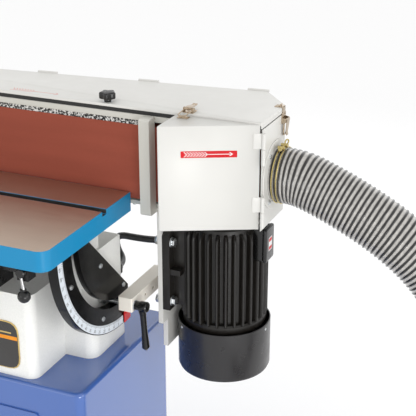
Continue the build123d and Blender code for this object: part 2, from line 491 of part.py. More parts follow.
def motor():
    """Mounting plate, finned motor with its feet, bolts, cowl, fan and terminal box."""
    plate = block(PLATE_X, (HEAD_FRONT + 2, 226), (MOTOR_LOW, TABLE_Z - 35))
    plate += block(PLATE_X, (72, 226), (622, MOTOR_LOW + 1))
    plate += block((PLATE_X[0], 420), (76, 226), (TABLE_Z - 35, FRAME_LOW)) \
        - rod_z(DRUM_X, MOTOR_Y, (900, 960), 40)
    for z in BOLT_Z:
        for y in (62, 2 * MOTOR_Y - 62):
            plate -= rod_x((PLATE_X[0] - 1, PLATE_X[1] + 1), y, z, 5)

    body = rod_z(DRUM_X, MOTOR_Y, (MOTOR_LOW - 22, MOTOR_TOP - 14), CORE_R)
    body += rod_z(DRUM_X, MOTOR_Y, (MOTOR_TOP - 15, MOTOR_TOP - 4), CORE_R - 8)
    body += rod_z(DRUM_X, MOTOR_Y, (MOTOR_TOP - 6, MOTOR_TOP), 38)
    fin_low = MOTOR_LOW + 4
    for k in range(FINS):
        angle = 360.0 * k / FINS
        fin = Pos((CORE_R + FIN_R) / 2 - 1, 0, (fin_low + MOTOR_TOP - 12) / 2) \
            * Box(FIN_R - CORE_R + 2, 6, MOTOR_TOP - 12 - fin_low)
        body += Pos(DRUM_X, MOTOR_Y, 0) * Rot(0, 0, angle) * fin
    body -= rod_z(DRUM_X, MOTOR_Y, (500, MOTOR_TOP + 1), 12 + RUNNING)
    box_x, box_y, box_z = (530.0, 557.0), (108.0, 150.0), (833.0, 903.0)
    body -= block(box_x, box_y, box_z)

    feet = []
    for side in (-1, 1):
        outer, inner = MOTOR_Y + side * 88, MOTOR_Y + side * 44
        web = MOTOR_Y + side * 58
        outline = [(outer, 718), (outer, 880), (outer - side * 14, 894), (inner, 894), (inner, 718)]
        foot = slab_x(Polygon(*outline, align=None), (PLATE_X[1], FOOT_X))
        foot += block((FOOT_X - 1, FOOT_X + 32), sorted((web, web + side * 8)), (724, 888))
        foot += block((FOOT_X - 1, FOOT_X + 22), sorted((web, outer - side * 3)), (797, 809))
        for z in BOLT_Z:
            foot -= rod_x((PLATE_X[1] - 1, FOOT_X + 1), MOTOR_Y + side * (MOTOR_Y - 62), z, 5)
        feet.append(foot - rod_z(DRUM_X, MOTOR_Y, (700, 900), FIN_R + 0.2))
    bolts = []
    for z in BOLT_Z:
        for side in (-1, 1):
            y = MOTOR_Y + side * (MOTOR_Y - 62)
            bolt = hexagon_x((FOOT_X, FOOT_X + 7), y, z, 16)
            bolt += rod_x((PLATE_X[0] - 12, FOOT_X + 1), y, z, 5)
            bolts.append(bolt + hexagon_x((PLATE_X[0] - 8, PLATE_X[0]), y, z, 16))

    cowl = rod_z(DRUM_X, MOTOR_Y, (COWL_LOW, MOTOR_LOW), COWL_R)
    cowl -= rod_z(DRUM_X, MOTOR_Y, (COWL_LOW + 2, MOTOR_LOW + 1), COWL_R - 2)
    for ring in (30, 50, 70):
        for k in range(12):
            angle = radians(30 * k + ring)
            cowl -= rod_z(DRUM_X + ring * cos(angle), MOTOR_Y + ring * sin(angle),
                          (COWL_LOW - 1, COWL_LOW + 3), 5)
    cowl += rod_z(DRUM_X, MOTOR_Y, (MOTOR_LOW - 12, MOTOR_LOW), COWL_R - 1) \
        - rod_z(DRUM_X, MOTOR_Y, (MOTOR_LOW - 13, MOTOR_LOW + 1), CORE_R)
    fan = rod_z(DRUM_X, MOTOR_Y, (604, 640), 20)
    for k in range(8):
        fan += Pos(DRUM_X, MOTOR_Y, 622) * Rot(0, 0, 45 * k) * Pos(50, 0, 0) * Box(66, 3, 34)
    fan -= rod_z(DRUM_X, MOTOR_Y, (590, 650), 12)
    terminal = block(box_x, box_y, box_z)
    terminal = fillet(terminal.faces().sort_by(Axis.X)[-1].edges(), 5)
    return {"motor_plate": plate, "motor_body": body, "motor_feet": Compound(children=feet),
            "motor_bolts": Compound(children=bolts), "motor_cowl": cowl, "motor_fan": fan,
            "terminal_box": terminal}


def tilt_lock():
    """Arm from the motor plate to the quadrant, its clamp bolt and the hanging clamp lever."""
    bolt_y, bolt_z = polar(CLAMP_R, CLAMP_ANGLE)
    arm_z = (bolt_z - 11, bolt_z + 19)
    arm = block((282, 313), (bolt_y - 14, 165), arm_z)
    arm += block((310, PLATE_X[0]), (125, 165), arm_z)
    arm = fillet(arm.edges().filter_by(Axis.Z).sort_by(Axis.Y)[:2], 3)
    arm -= rod_x((280, 320), bolt_y, bolt_z, 5)
    for y in (60, 95):
        arm -= rod_x((305, 314), y, bolt_z + 2, 3)
    bolt = rod_x((QUAD_X[0] - GAP - 1, 330), bolt_y, bolt_z, 5)
    bolt += rod_x((QUAD_X[0] - 9, QUAD_X[0] - GAP), bolt_y, bolt_z, 10)
    bolt += rod_x((313, 315), bolt_y, bolt_z, 11)
    lever = rod_x((315 + GAP, 342), bolt_y, bolt_z, 10)
    lever -= rod_x((310, 330 + GAP), bolt_y, bolt_z, 5 + RUNNING)
    lever += block((328, 341), (bolt_y - 5, bolt_y + 5), (bolt_z - 96, bolt_z - 6))
    return {"tilt_arm": arm, "tilt_lock_bolt": bolt, "tilt_lock_lever": lever}


def dust_and_cable():
    """Dust port with its screws, clamp, hose and cuff, and the motor cable."""
    wall_x = HEAD_RIGHT
    port = rod_x((wall_x, wall_x + 3), PORT_Y, PORT_Z, 68) + rod_x((wall_x, 625), PORT_Y, PORT_Z, PORT_R)
    port -= rod_x((wall_x - 1, 626), PORT_Y, PORT_Z, PORT_R - SHEET)
    screws = []
    for angle in (52, 128, 232, 308):
        y, z = PORT_Y + 59 * cos(radians(angle)), PORT_Z + 59 * sin(radians(angle))
        screws.append(rod_x((wall_x + 3, wall_x + 6), y, z, 4.5))
    clamp_x = (576, 588)
    clamp = rod_x(clamp_x, PORT_Y, PORT_Z, PORT_R + 2) - rod_x((570, 600), PORT_Y, PORT_Z, PORT_R)
    clamp += block(clamp_x, (PORT_Y - 16, PORT_Y + 10), (PORT_Z + PORT_R + 1, PORT_Z + PORT_R + 12))
    hose = tube_along(HOSE_ROUTE, HOSE_R, HOSE_WALL, "dust_hose")
    end = HOSE_ROUTE[-1]
    cuff = rod_y(end[0], (end[1] - 70, end[1]), end[2], PORT_R)
    cuff -= rod_y(end[0], (end[1] - 71, end[1] + 1), end[2], PORT_R - 3)
    cuff += rod_y(end[0], (end[1] - 14, end[1]), end[2], HOSE_R) \
        - rod_y(end[0], (end[1] - 15, end[1] + 1), end[2], PORT_R - 3)
    cable = tube_along(CABLE_ROUTE, CABLE_R, 0, "cable_conduit")
    return {"dust_port": port, "port_screws": Compound(children=screws), "hose_clamp": clamp,
            "dust_hose": hose, "hose_cuff": cuff, "cable_conduit": cable}


NODES = {}
for build in (stand, pedestal, pivot_pins, trunnion, fittings, table, head_frame, belt_drive, casing, lid,
              door, motor, tilt_lock, dust_and_cable):
    NODES.update(build())

os.makedirs("parts", exist_ok=True)
for name, shape in NODES.items():
    shape.label = name
    export_step(shape, os.path.join("parts", name + ".step"))
print(len(NODES), "nodes")
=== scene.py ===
"""Studio model of a tilting edge sander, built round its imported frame.

Lengths are metres.  +X runs along the belt, -Y faces the operator and the floor is Z = 0.
"""
import json
import logging
import math
from dataclasses import dataclass, field
from enum import Enum

import bmesh
import bpy
import numpy as np
from mathutils import Matrix, Vector

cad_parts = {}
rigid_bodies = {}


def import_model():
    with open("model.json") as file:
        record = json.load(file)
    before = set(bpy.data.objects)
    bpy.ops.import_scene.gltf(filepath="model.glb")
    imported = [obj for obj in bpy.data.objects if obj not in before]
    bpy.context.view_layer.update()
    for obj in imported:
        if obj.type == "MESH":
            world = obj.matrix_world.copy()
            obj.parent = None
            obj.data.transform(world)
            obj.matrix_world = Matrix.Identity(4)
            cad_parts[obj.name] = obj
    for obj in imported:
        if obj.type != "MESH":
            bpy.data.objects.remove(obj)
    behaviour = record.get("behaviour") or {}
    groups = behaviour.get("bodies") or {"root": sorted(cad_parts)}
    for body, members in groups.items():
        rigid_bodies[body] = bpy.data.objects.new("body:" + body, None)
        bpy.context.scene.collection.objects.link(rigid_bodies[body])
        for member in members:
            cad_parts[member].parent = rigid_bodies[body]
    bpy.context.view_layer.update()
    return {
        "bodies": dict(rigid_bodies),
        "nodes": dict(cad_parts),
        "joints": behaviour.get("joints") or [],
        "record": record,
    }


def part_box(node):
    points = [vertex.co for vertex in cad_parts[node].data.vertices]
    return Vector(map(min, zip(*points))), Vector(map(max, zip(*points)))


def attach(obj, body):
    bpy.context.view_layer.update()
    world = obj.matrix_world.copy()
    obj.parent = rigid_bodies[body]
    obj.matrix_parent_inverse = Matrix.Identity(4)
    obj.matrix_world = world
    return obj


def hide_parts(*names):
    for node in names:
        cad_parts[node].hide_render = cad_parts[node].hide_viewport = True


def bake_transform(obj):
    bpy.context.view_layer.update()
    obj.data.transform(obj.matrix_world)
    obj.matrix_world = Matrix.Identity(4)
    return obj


LOG = logging.getLogger("edge_sander")
MM = 0.001
Array = np.ndarray
Colour = tuple[float, float, float]


# ---------------------------------------------------------------- plane and solid geometry
class Along(Enum):
    """Direction that a shape's own +Z takes in the machine; columns are its X, Y and Z."""

    RIGHT = ((0, 0, 1), (1, 0, 0), (0, 1, 0))
    BACK = ((0, 1, 0), (0, 0, 1), (1, 0, 0))
    FRONT = ((1, 0, 0), (0, 0, -1), (0, 1, 0))
    UP = ((1, 0, 0), (0, 1, 0), (0, 0, 1))
    DOWN = ((1, 0, 0), (0, -1, 0), (0, 0, -1))


@dataclass
class Patch:
    """Points and faces of one or more closed surfaces."""

    points: Array
    faces: list[tuple[int, ...]]

    def __add__(self, other: "Patch") -> "Patch":
        """Both surfaces as one patch."""
        shift = len(self.points)
        moved = [tuple(i + shift for i in face) for face in other.faces]
        return Patch(np.vstack([self.points, other.points]), self.faces + moved)

    def at(self, x: float = 0.0, y: float = 0.0, z: float = 0.0) -> "Patch":
        """The patch moved by an offset."""
        return Patch(self.points + np.array([x, y, z]), self.faces)

    def along(self, way: Along) -> "Patch":
        """The patch with its own Z laid along a direction of the machine."""
        return Patch(self.points @ np.array(way.value, float).T, self.faces)

    def turned(self, degrees: float, axis: str = "Z") -> "Patch":
        """The patch turned about one of its own axes."""
        turn = np.array(Matrix.Rotation(math.radians(degrees), 3, axis))
        return Patch(self.points @ turn.T, self.faces)

    def build(self, name: str, crease: float = 32.0) -> bpy.types.Object:
        """Make the Blender object.

        Args:
            name: name of the piece.
            crease: angle in degrees past which an edge is drawn sharp.

        Returns:
            The new object, at the origin, smooth shaded between its creases.
        """
        mesh = bpy.data.meshes.new(name)
        mesh.from_pydata(self.points.tolist(), [], self.faces)
        shell = bmesh.new()
        shell.from_mesh(mesh)
        bmesh.ops.remove_doubles(shell, verts=shell.verts, dist=1e-6)
        bmesh.ops.recalc_face_normals(shell, faces=shell.faces)
        shell.to_mesh(mesh)
        shell.free()
        smoothed(mesh)
        mesh.set_sharp_from_angle(angle=math.radians(crease))
        return hung(name, mesh)


def hung(name: str, data: bpy.types.ID) -> bpy.types.Object:
    """A new object in the scene that carries some data."""
    piece = bpy.data.objects.new(name, data)
    bpy.context.scene.collection.objects.link(piece)
    return piece


def smoothed(mesh: bpy.types.Mesh) -> None:
    """Shade every face of a mesh smooth."""
    mesh.polygons.foreach_set("use_smooth", np.ones(len(mesh.polygons), bool))


def joined(patches: list[Patch]) -> Patch:
    """One patch out of many."""
    whole = patches[0]
    for patch in patches[1:]:
        whole = whole + patch
    return whole


def loft(rings: Array, capped: bool = True, looped: bool = False) -> Patch:
    """Skin a stack of closed rings.

    Args:
        rings: points, (ring, place round it, 3).
        capped: close the first and the last ring with one face each.
        looped: join the last ring back to the first instead.

    Returns:
        The skin; each face joins a place and its neighbour to the same two on the next ring.
    """
    count, sides = rings.shape[:2]
    index = np.arange(count * sides).reshape(count, sides)
    here, there = (index, np.roll(index, -1, 0)) if looped else (index[:-1], index[1:])
    quads = np.stack([here, np.roll(here, -1, 1), np.roll(there, -1, 1), there], -1).reshape(-1, 4)
    faces = [tuple(q) for q in quads.tolist()]
    if capped and not looped:
        faces += [tuple(index[0][::-1].tolist()), tuple(index[-1].tolist())]
    return Patch(rings.reshape(-1, 3), faces)


def lathe(profile: list[tuple[float, float]], sides: int = 48, looped: bool = False) -> Patch:
    """Turn a profile of (radius, height) about Z; an end on the axis closes to a point."""
    line = np.array(profile, float)
    angle = np.linspace(0, 2 * np.pi, sides, endpoint=False)
    radius, height = line[:, :1], line[:, 1:]
    rings = np.stack([radius * np.cos(angle), radius * np.sin(angle), height + 0 * angle], -1)
    return loft(rings, capped=True, looped=looped)


def circle(radius: float, sides: int = 32) -> Array:
    """Outline of a circle: (r cos a, r sin a)."""
    angle = np.linspace(0, 2 * np.pi, sides, endpoint=False)
    return radius * np.stack([np.cos(angle), np.sin(angle)], -1)


def sector(inner: float, outer: float, start: float, end: float, steps: int = 40) -> Array:
    """Outline of a ring's stretch between two angles in degrees: out along one arc, back on the other."""
    angle = np.radians(np.linspace(start, end, steps))
    ray = np.stack([np.cos(angle), np.sin(angle)], -1)
    return np.vstack([outer * ray, inner * ray[::-1]])


def ordered(outline: Array) -> Array:
    """The outline running anticlockwise."""
    x, y = outline[:, 0], outline[:, 1]
    area = np.sum(x * np.roll(y, -1) - np.roll(x, -1) * y)
    return outline if area > 0 else outline[::-1]


def rounded(corners: list[tuple[float, float]] | Array, radius: float, steps: int = 5) -> Array:
    """Round every corner with a quadratic curve between two points at a distance from it."""
    ring = ordered(np.array(corners, float))
    before, after = np.roll(ring, 1, 0) - ring, np.roll(ring, -1, 0) - ring
    reach_in = np.minimum(radius, 0.45 * np.linalg.norm(before, axis=1))[:, None]
    reach_out = np.minimum(radius, 0.45 * np.linalg.norm(after, axis=1))[:, None]
    first = ring + reach_in * before / np.linalg.norm(before, axis=1)[:, None]
    last = ring + reach_out * after / np.linalg.norm(after, axis=1)[:, None]
    t = np.linspace(0, 1, steps)[None, :, None]
    curve = (1 - t) ** 2 * first[:, None] + 2 * t * (1 - t) * ring[:, None] + t ** 2 * last[:, None]
    return curve.reshape(-1, 2)


def rectangle(x0: float, x1: float, y0: float, y1: float, radius: float = 0.0) -> Array:
    """Outline of a rectangle with rounded corners."""
    corners = [(x0, y0), (x1, y0), (x1, y1), (x0, y1)]
    return rounded(corners, radius) if radius else np.array(corners, float)


def inset(outline: Array, depth: float) -> Array:
    """Move each edge of an anticlockwise outline inwards by a depth."""
    edge = np.roll(outline, -1, 0) - outline
    edge = edge / np.maximum(np.linalg.norm(edge, axis=1), 1e-12)[:, None]
    normal = np.stack([-edge[:, 1], edge[:, 0]], -1)
    past = np.roll(normal, 1, 0)
    spread = np.maximum(1 + np.sum(normal * past, 1), 0.35)[:, None]
    return outline + depth * (normal + past) / spread


def ring_at(outline: Array, depth: float, height: float) -> Array:
    """An inset outline at a height, as 3-D points."""
    flat = inset(outline, depth)
    return np.column_stack([flat, np.full(len(flat), height)])


def slab(outline: Array, low: float, high: float, ease: float = 0.0008, steps: int = 3) -> Patch:
    """Raise an outline between two heights, with both rims rounded by quarter circles."""
    outline = ordered(np.asarray(outline, float))
    ease = min(ease, 0.45 * (high - low))
    turn = np.linspace(0, np.pi / 2, steps + 1)
    rim = [(ease * (1 - math.sin(a)), ease * (1 - math.cos(a))) for a in turn]
    rings = [ring_at(outline, d, low + h) for d, h in rim]
    rings += [ring_at(outline, d, high - h) for d, h in rim[::-1]]
    return loft(np.array(rings))


def tray(outline: Array, low: float, high: float, bend: float, sheet: float, steps: int = 4) -> Patch:
    """Folded sheet lid, open below: inner roof, inner wall, rim, outer wall, bend and outer roof."""
    outline = ordered(np.asarray(outline, float))
    turn = np.linspace(0, np.pi / 2, steps + 1)
    rings = [ring_at(outline, sheet, high - sheet), ring_at(outline, sheet, low), ring_at(outline, 0, low)]
    rings += [ring_at(outline, bend * (1 - math.cos(a)), high - bend + bend * math.sin(a)) for a in turn]
    return loft(np.array(rings))


def frames(path: Array) -> tuple[Array, Array]:
    """Two unit normals along a path, kept from twisting by one fixed reference direction."""
    tangent = np.gradient(path, axis=0)
    tangent /= np.linalg.norm(tangent, axis=1)[:, None]
    spread = np.ptp(path, axis=0)
    steady = np.eye(3)[int(np.argmin(spread))] + 0.31 * np.array([0.5, -0.7, 0.6])
    if len(path) > 300:
        steady = np.array([1.0, 1.0, 1.0])
    side = np.cross(tangent, steady)
    side /= np.linalg.norm(side, axis=1)[:, None]
    return side, np.cross(tangent, side)


def spokes(side: Array, other: Array, angle: Array) -> Array:
    """Unit vectors round each point of a path: (point, angle, 3)."""
    return np.cos(angle)[None, :, None] * side[:, None] + np.sin(angle)[None, :, None] * other[:, None]


def run_along(path: Array) -> Array:
    """Distance run at each point of a path."""
    return np.concatenate([[0], np.cumsum(np.linalg.norm(np.diff(path, axis=0), axis=1))])


def tube(path: Array, radius: float | Array, sides: int = 16, looped: bool = False) -> Patch:
    """Carry a circle along a path; the radius is one number or one per point of the path."""
    side, other = frames(path)
    angle = np.linspace(0, 2 * np.pi, sides, endpoint=False)
    reach = np.broadcast_to(np.asarray(radius, float), (len(path),))[:, None, None]
    return loft(path[:, None] + reach * spokes(side, other, angle), capped=not looped, looped=looped)


def smooth_path(corners: list[tuple[float, float, float]], steps: int = 8) -> Array:
    """A bent wire's centreline: straight runs joined by quadratic curves round each corner."""
    line = np.array(corners, float)
    middle = 0.5 * (line[:-1] + line[1:])
    start, end = middle[:-1], middle[1:]
    t = np.linspace(0, 1, steps, endpoint=False)[None, :, None]
    curve = (1 - t) ** 2 * start[:, None] + 2 * t * (1 - t) * line[1:-1, None] + t ** 2 * end[:, None]
    return np.vstack([line[:1], curve.reshape(-1, 3), middle[-1:], line[-1:]])


def nurbs_path(name: str, points: list[tuple[float, float, float]], spacing: float) -> Array:
    """Points read from a smooth NURBS line through a route.

    Args:
        name: name of the scratch curve.
        points: the route's control points.
        spacing: distance between the points given back.

    Returns:
        Evenly spaced points along the line.
    """
    curve = bpy.data.curves.new(name, "CURVE")
    curve.dimensions = "3D"
    curve.resolution_u = 24
    spline = curve.splines.new("NURBS")
    spline.points.add(len(points) - 1)
    weights = np.column_stack([np.array(points, float), np.ones(len(points))])
    spline.points.foreach_set("co", weights.ravel())
    spline.order_u = 3
    spline.use_endpoint_u = True
    holder = hung(name, curve)
    bpy.context.view_layer.update()
    mesh = bpy.data.meshes.new_from_object(holder)
    line = np.empty(len(mesh.vertices) * 3)
    mesh.vertices.foreach_get("co", line)
    line = line.reshape(-1, 3)
    bpy.data.objects.remove(holder)
    bpy.data.meshes.remove(mesh)
    bpy.data.curves.remove(curve)
    run = run_along(line)
    wanted = np.linspace(0, run[-1], max(8, int(run[-1] / spacing)))
    return np.stack([np.interp(wanted, run, line[:, k]) for k in range(3)], -1)


def star(radius: float, lobes: int, depth: float, sides: int = 80) -> Array:
    """Outline of a lobed knob: r = radius (1 + depth cos(lobes a))."""
    angle = np.linspace(0, 2 * np.pi, sides, endpoint=False)
    reach = radius * (1 + depth * np.cos(lobes * angle))
    return np.stack([reach * np.cos(angle), reach * np.sin(angle)], -1)


def hexagon(across: float) -> Array:
    """Outline of a hexagon by its size across the flats."""
    return circle(across / 2 / math.cos(math.pi / 6), 6)


def pan_head(radius: float, height: float) -> Patch:
    """Domed screw head with a socket, standing on its own XY plane."""
    return lathe([(radius, 0), (radius, 0.35 * height), (0.86 * radius, 0.8 * height),
                  (0.55 * radius, height), (0.36 * radius, height), (0.30 * radius, 0.45 * height),
                  (0.0, 0.42 * height)], 20)


def hex_bolt(across: float, height: float) -> Patch:
    """Hexagon head with a chamfered top on a washer."""
    washer = lathe([(0, 0), (0.68 * across, 0), (0.70 * across, 0.0004), (0.68 * across, 0.0016),
                    (0, 0.0016)], 28)
    return washer + slab(hexagon(across), 0.0016, height, 0.0012, 2)


# ---------------------------------------------------------------- finishes
class Sheet:
    """Node sheet of one material, with the few nodes that every finish is made from."""

    def __init__(self, name: str) -> None:
        """Start a material with one shader and object coordinates."""
        self.material = bpy.data.materials.new(name)
        self.material.use_nodes = True
        self.tree = self.material.node_tree
        self.shader = self.tree.nodes["Principled BSDF"]
        self.place = self.tree.nodes.new("ShaderNodeTexCoord").outputs["Object"]

    def join(self, source: bpy.types.NodeSocket, target: bpy.types.NodeSocket) -> None:
        """Link two sockets."""
        self.tree.links.new(source, target)

    def set(self, **values: float | tuple[float, ...]) -> None:
        """Set the shader's sockets by name, with _ for a space."""
        for key, value in values.items():
            self.shader.inputs[key.replace("_", " ")].default_value = value

    def tint(self, tone: bpy.types.NodeSocket) -> None:
        """Let a socket give the shader's colour."""
        self.join(tone, self.shader.inputs["Base Color"])

    def gloss(self, source: bpy.types.NodeSocket, low: float, high: float) -> None:
        """Let a noise give the shader's roughness, between two numbers."""
        self.join(self.spread(source, low, high), self.shader.inputs["Roughness"])

    def noise(self, scale: float, detail: float = 3.0, stretch: tuple[float, float, float] = (1, 1, 1)
              ) -> bpy.types.NodeSocket:
        """Cloudy noise of a number of cells per metre, stretched along the axes."""
        mapping = self.tree.nodes.new("ShaderNodeMapping")
        mapping.inputs["Scale"].default_value = stretch
        self.join(self.place, mapping.inputs["Vector"])
        cloud = self.tree.nodes.new("ShaderNodeTexNoise")
        cloud.inputs["Scale"].default_value = scale
        cloud.inputs["Detail"].default_value = detail
        self.join(mapping.outputs["Vector"], cloud.inputs["Vector"])
        return cloud.outputs["Fac"]

    def grains(self, scale: float) -> bpy.types.NodeSocket:
        """Distance inside cells, for grit and pebbled skins."""
        cells = self.tree.nodes.new("ShaderNodeTexVoronoi")
        cells.inputs["Scale"].default_value = scale
        self.join(self.place, cells.inputs["Vector"])
        return cells.outputs["Distance"]

    def ramp(self, source: bpy.types.NodeSocket, stops: list[tuple[float, Colour]]) -> bpy.types.NodeSocket:
        """Colours along a value."""
        ramp = self.tree.nodes.new("ShaderNodeValToRGB")
        for place, colour in stops[2:]:
            ramp.color_ramp.elements.new(place)
        for element, (place, colour) in zip(ramp.color_ramp.elements, sorted(stops)):
            element.position = place
            element.color = (*colour, 1)
        self.join(source, ramp.inputs["Fac"])
        return ramp.outputs["Color"]

    def spread(self, source: bpy.types.NodeSocket, low: float, high: float) -> bpy.types.NodeSocket:
        """A noise value spread over a range of numbers."""
        reach = self.tree.nodes.new("ShaderNodeMapRange")
        reach.inputs["From Min"].default_value = 0.3
        reach.inputs["From Max"].default_value = 0.7
        reach.inputs["To Min"].default_value = low
        reach.inputs["To Max"].default_value = high
        self.join(source, reach.inputs["Value"])
        return reach.outputs["Result"]

    def blend(self, factor: bpy.types.NodeSocket, first: bpy.types.NodeSocket | Colour,
              second: bpy.types.NodeSocket | Colour) -> bpy.types.NodeSocket:
        """Mix two colours, each a socket or a fixed colour."""
        mix = self.tree.nodes.new("ShaderNodeMix")
        mix.data_type = "RGBA"
        self.join(factor, mix.inputs[0])
        for socket, value in ((mix.inputs[6], first), (mix.inputs[7], second)):
            if isinstance(value, tuple):
                socket.default_value = (*value, 1)
            else:
                self.join(value, socket)
        return mix.outputs[2]

    def bump(self, height: bpy.types.NodeSocket, strength: float, distance: float) -> None:
        """Add a relief under whatever relief is already there."""
        bump = self.tree.nodes.new("ShaderNodeBump")
        bump.inputs["Strength"].default_value = strength
        bump.inputs["Distance"].default_value = distance
        self.join(height, bump.inputs["Height"])
        links = self.shader.inputs["Normal"].links
        if links:
            self.join(links[0].from_socket, bump.inputs["Normal"])
        self.join(bump.outputs["Normal"], self.shader.inputs["Normal"])


def shade(colour: Colour, factor: float) -> Colour:
    """A colour made lighter or darker by a factor."""
    return tuple(min(1.0, c * factor) for c in colour)


@dataclass(frozen=True)
class Finish:
    """A named finish; slot goes into the name of its material and every subclass draws its own sheet."""

    slot: str
    colour: Colour
    roughness: float = 0.4

    def draw(self, sheet: Sheet) -> None:
        """Add this finish's nodes to a sheet."""
        sheet.set(Base_Color=(*self.colour, 1), Roughness=self.roughness)

    def label(self) -> str:
        """Name of the finish's material."""
        return f"{type(self).__name__}_{self.slot}"

    def material(self) -> bpy.types.Material:
        """The finish's material, made once."""
        name = self.label()
        known = bpy.data.materials.get(name)
        if known:
            return known
        sheet = Sheet(name)
        self.draw(sheet)
        return sheet.material


@dataclass(frozen=True)
class Paint(Finish):
    """Sprayed paint: faint drift of tone, orange peel and a thin clear gloss."""

    coat: float = 0.15
    peel: float = 0.10
    shine: float = 0.5

    def draw(self, sheet: Sheet) -> None:
        """Tone from slow noise, roughness from a finer one and relief from the finest."""
        drift = sheet.noise(5.0, 4.0)
        tone = sheet.ramp(drift, [(0.3, shade(self.colour, 0.955)), (0.7, self.colour)])
        sheet.tint(tone)
        smear = sheet.noise(38.0, 5.0)
        sheet.gloss(smear, self.roughness - 0.05, self.roughness + 0.07)
        sheet.set(Coat_Weight=self.coat, Coat_Roughness=0.12, Specular_IOR_Level=self.shine)
        sheet.bump(sheet.noise(620.0, 2.0), self.peel, 0.0004)


@dataclass(frozen=True)
class Casting(Finish):
    """Enamel over a sand casting: the mould's grain still shows."""

    coat: float = 0.1
    grain: float = 0.30
    drift: float = 0.13
    shine: float = 0.5

    def draw(self, sheet: Sheet) -> None:
        """Coarse and fine relief, with thinner paint on the grain's tops."""
        grain = sheet.noise(330.0, 6.0)
        tone = sheet.ramp(grain, [(0.35, shade(self.colour, 1 - self.drift)),
                                  (0.65, shade(self.colour, 1 + self.drift))])
        sheet.tint(tone)
        sheet.gloss(sheet.noise(60.0), self.roughness - 0.06, self.roughness + 0.1)
        sheet.set(Coat_Weight=self.coat, Coat_Roughness=0.2, Specular_IOR_Level=self.shine)
        sheet.bump(grain, self.grain, 0.0007)
        sheet.bump(sheet.noise(90.0, 3.0), 0.6 * self.grain, 0.0012)


@dataclass(frozen=True)
class Metal(Finish):
    """Bare or plated metal, with tool marks along one direction."""

    stretch: tuple[float, float, float] = (1.0, 1.0, 1.0)
    marks: float = 0.15

    def draw(self, sheet: Sheet) -> None:
        """Tool marks from noise stretched along the cut; tarnish from slow noise."""
        cut = sheet.noise(900.0, 4.0, self.stretch)
        stain = sheet.noise(14.0, 5.0)
        tone = sheet.ramp(stain, [(0.3, shade(self.colour, 0.86)), (0.7, shade(self.colour, 1.05))])
        sheet.tint(tone)
        sheet.gloss(cut, self.roughness - 0.06, self.roughness + 0.1)
        sheet.set(Metallic=1.0)
        sheet.bump(cut, self.marks, 0.0002)


@dataclass(frozen=True)
class Plastic(Finish):
    """Moulded plastic with a fine eroded skin."""

    grain: float = 0.15

    def draw(self, sheet: Sheet) -> None:
        """Pebbled relief and a little drift of gloss."""
        pebble = sheet.grains(1500.0)
        tone = sheet.ramp(sheet.noise(22.0), [(0.3, shade(self.colour, 0.9)), (0.7, shade(self.colour, 1.1))])
        sheet.tint(tone)
        sheet.gloss(sheet.noise(120.0), self.roughness - 0.05, self.roughness + 0.05)
        sheet.bump(pebble, self.grain, 0.0003)


@dataclass(frozen=True)
class Grit(Finish):
    """Abrasive cloth: resin-bound grains with faint runs of dust along the belt."""

    def draw(self, sheet: Sheet) -> None:
        """Grain cells for relief and for painted glints lighter at each grain's centre, streaks stretched
        along X for tone.
        """
        grain = sheet.grains(2600.0)
        streak = sheet.noise(16.0, 5.0, (0.18, 1.0, 2.2))
        tone = sheet.ramp(streak, [(0.25, shade(self.colour, 0.84)), (0.75, shade(self.colour, 1.14))])
        # Painted glints: each grain's centre is painted lighter than the cloth round it.
        painted_glint = sheet.ramp(grain, [(0.1, shade(self.colour, 1.5)), (0.6, shade(self.colour, 0.75))])
        amount = sheet.spread(sheet.noise(700.0, 2.0), 0.25, 0.6)
        sheet.tint(sheet.blend(amount, tone, painted_glint))
        sheet.set(Roughness=self.roughness, Specular_IOR_Level=0.25)
        sheet.bump(grain, 0.6, 0.0006)


@dataclass(frozen=True)
class Speckle(Finish):
    """Graphite-filled felt: light and dark flecks a few millimetres across."""

    def draw(self, sheet: Sheet) -> None:
        """Flecks from sharp-edged noise."""
        fleck = sheet.noise(340.0, 3.0)
        tone = sheet.ramp(fleck, [(0.47, (0.012, 0.012, 0.012)), (0.575, (0.70, 0.70, 0.68)),
                                  (0.50, self.colour)])
        sheet.tint(tone)
        sheet.set(Roughness=self.roughness)
        sheet.bump(fleck, 0.5, 0.0008)


@dataclass(frozen=True)
class GroundIron(Finish):
    """Surface-ground cast iron: fine crossing scratches, warm with a film of oil."""

    def draw(self, sheet: Sheet) -> None:
        """Long scratches both ways over slow clouds of tone."""
        cloud = sheet.noise(7.0, 5.0)
        lengthwise = sheet.noise(500.0, 4.0, (0.03, 1.0, 1.0))
        crosswise = sheet.noise(420.0, 3.0, (1.0, 0.05, 1.0))
        tone = sheet.ramp(cloud, [(0.25, shade(self.colour, 0.93)), (0.75, shade(self.colour, 1.06))])
        scratch = sheet.ramp(lengthwise, [(0.3, shade(self.colour, 0.92)), (0.7, shade(self.colour, 1.07))])
        sheet.tint(sheet.blend(sheet.spread(crosswise, 0.2, 0.6), tone, scratch))
        sheet.gloss(lengthwise, self.roughness - 0.03, self.roughness + 0.05)
        sheet.set(Metallic=1.0)
        sheet.bump(lengthwise, 0.06, 0.0002)


@dataclass(frozen=True)
class RibbedHose(Finish):
    """Grey hose film between dark raised wires: the attribute 'film' is 1 on the film."""

    wire: Colour = (0.006, 0.0055, 0.005)

    def draw(self, sheet: Sheet) -> None:
        """Wire and film tones mixed by the attribute, with a drift of tone along the hose."""
        film = sheet.tree.nodes.new("ShaderNodeAttribute")
        film.attribute_name = "film"
        marks = sheet.noise(160.0, 5.0)
        tone = sheet.ramp(marks, [(0.3, shade(self.colour, 0.80)), (0.7, shade(self.colour, 1.12))])
        sheet.tint(sheet.blend(film.outputs["Fac"], self.wire, tone))
        sheet.set(Roughness=self.roughness, Coat_Weight=0.25, Coat_Roughness=0.10)
        sheet.bump(marks, 0.06, 0.0005)


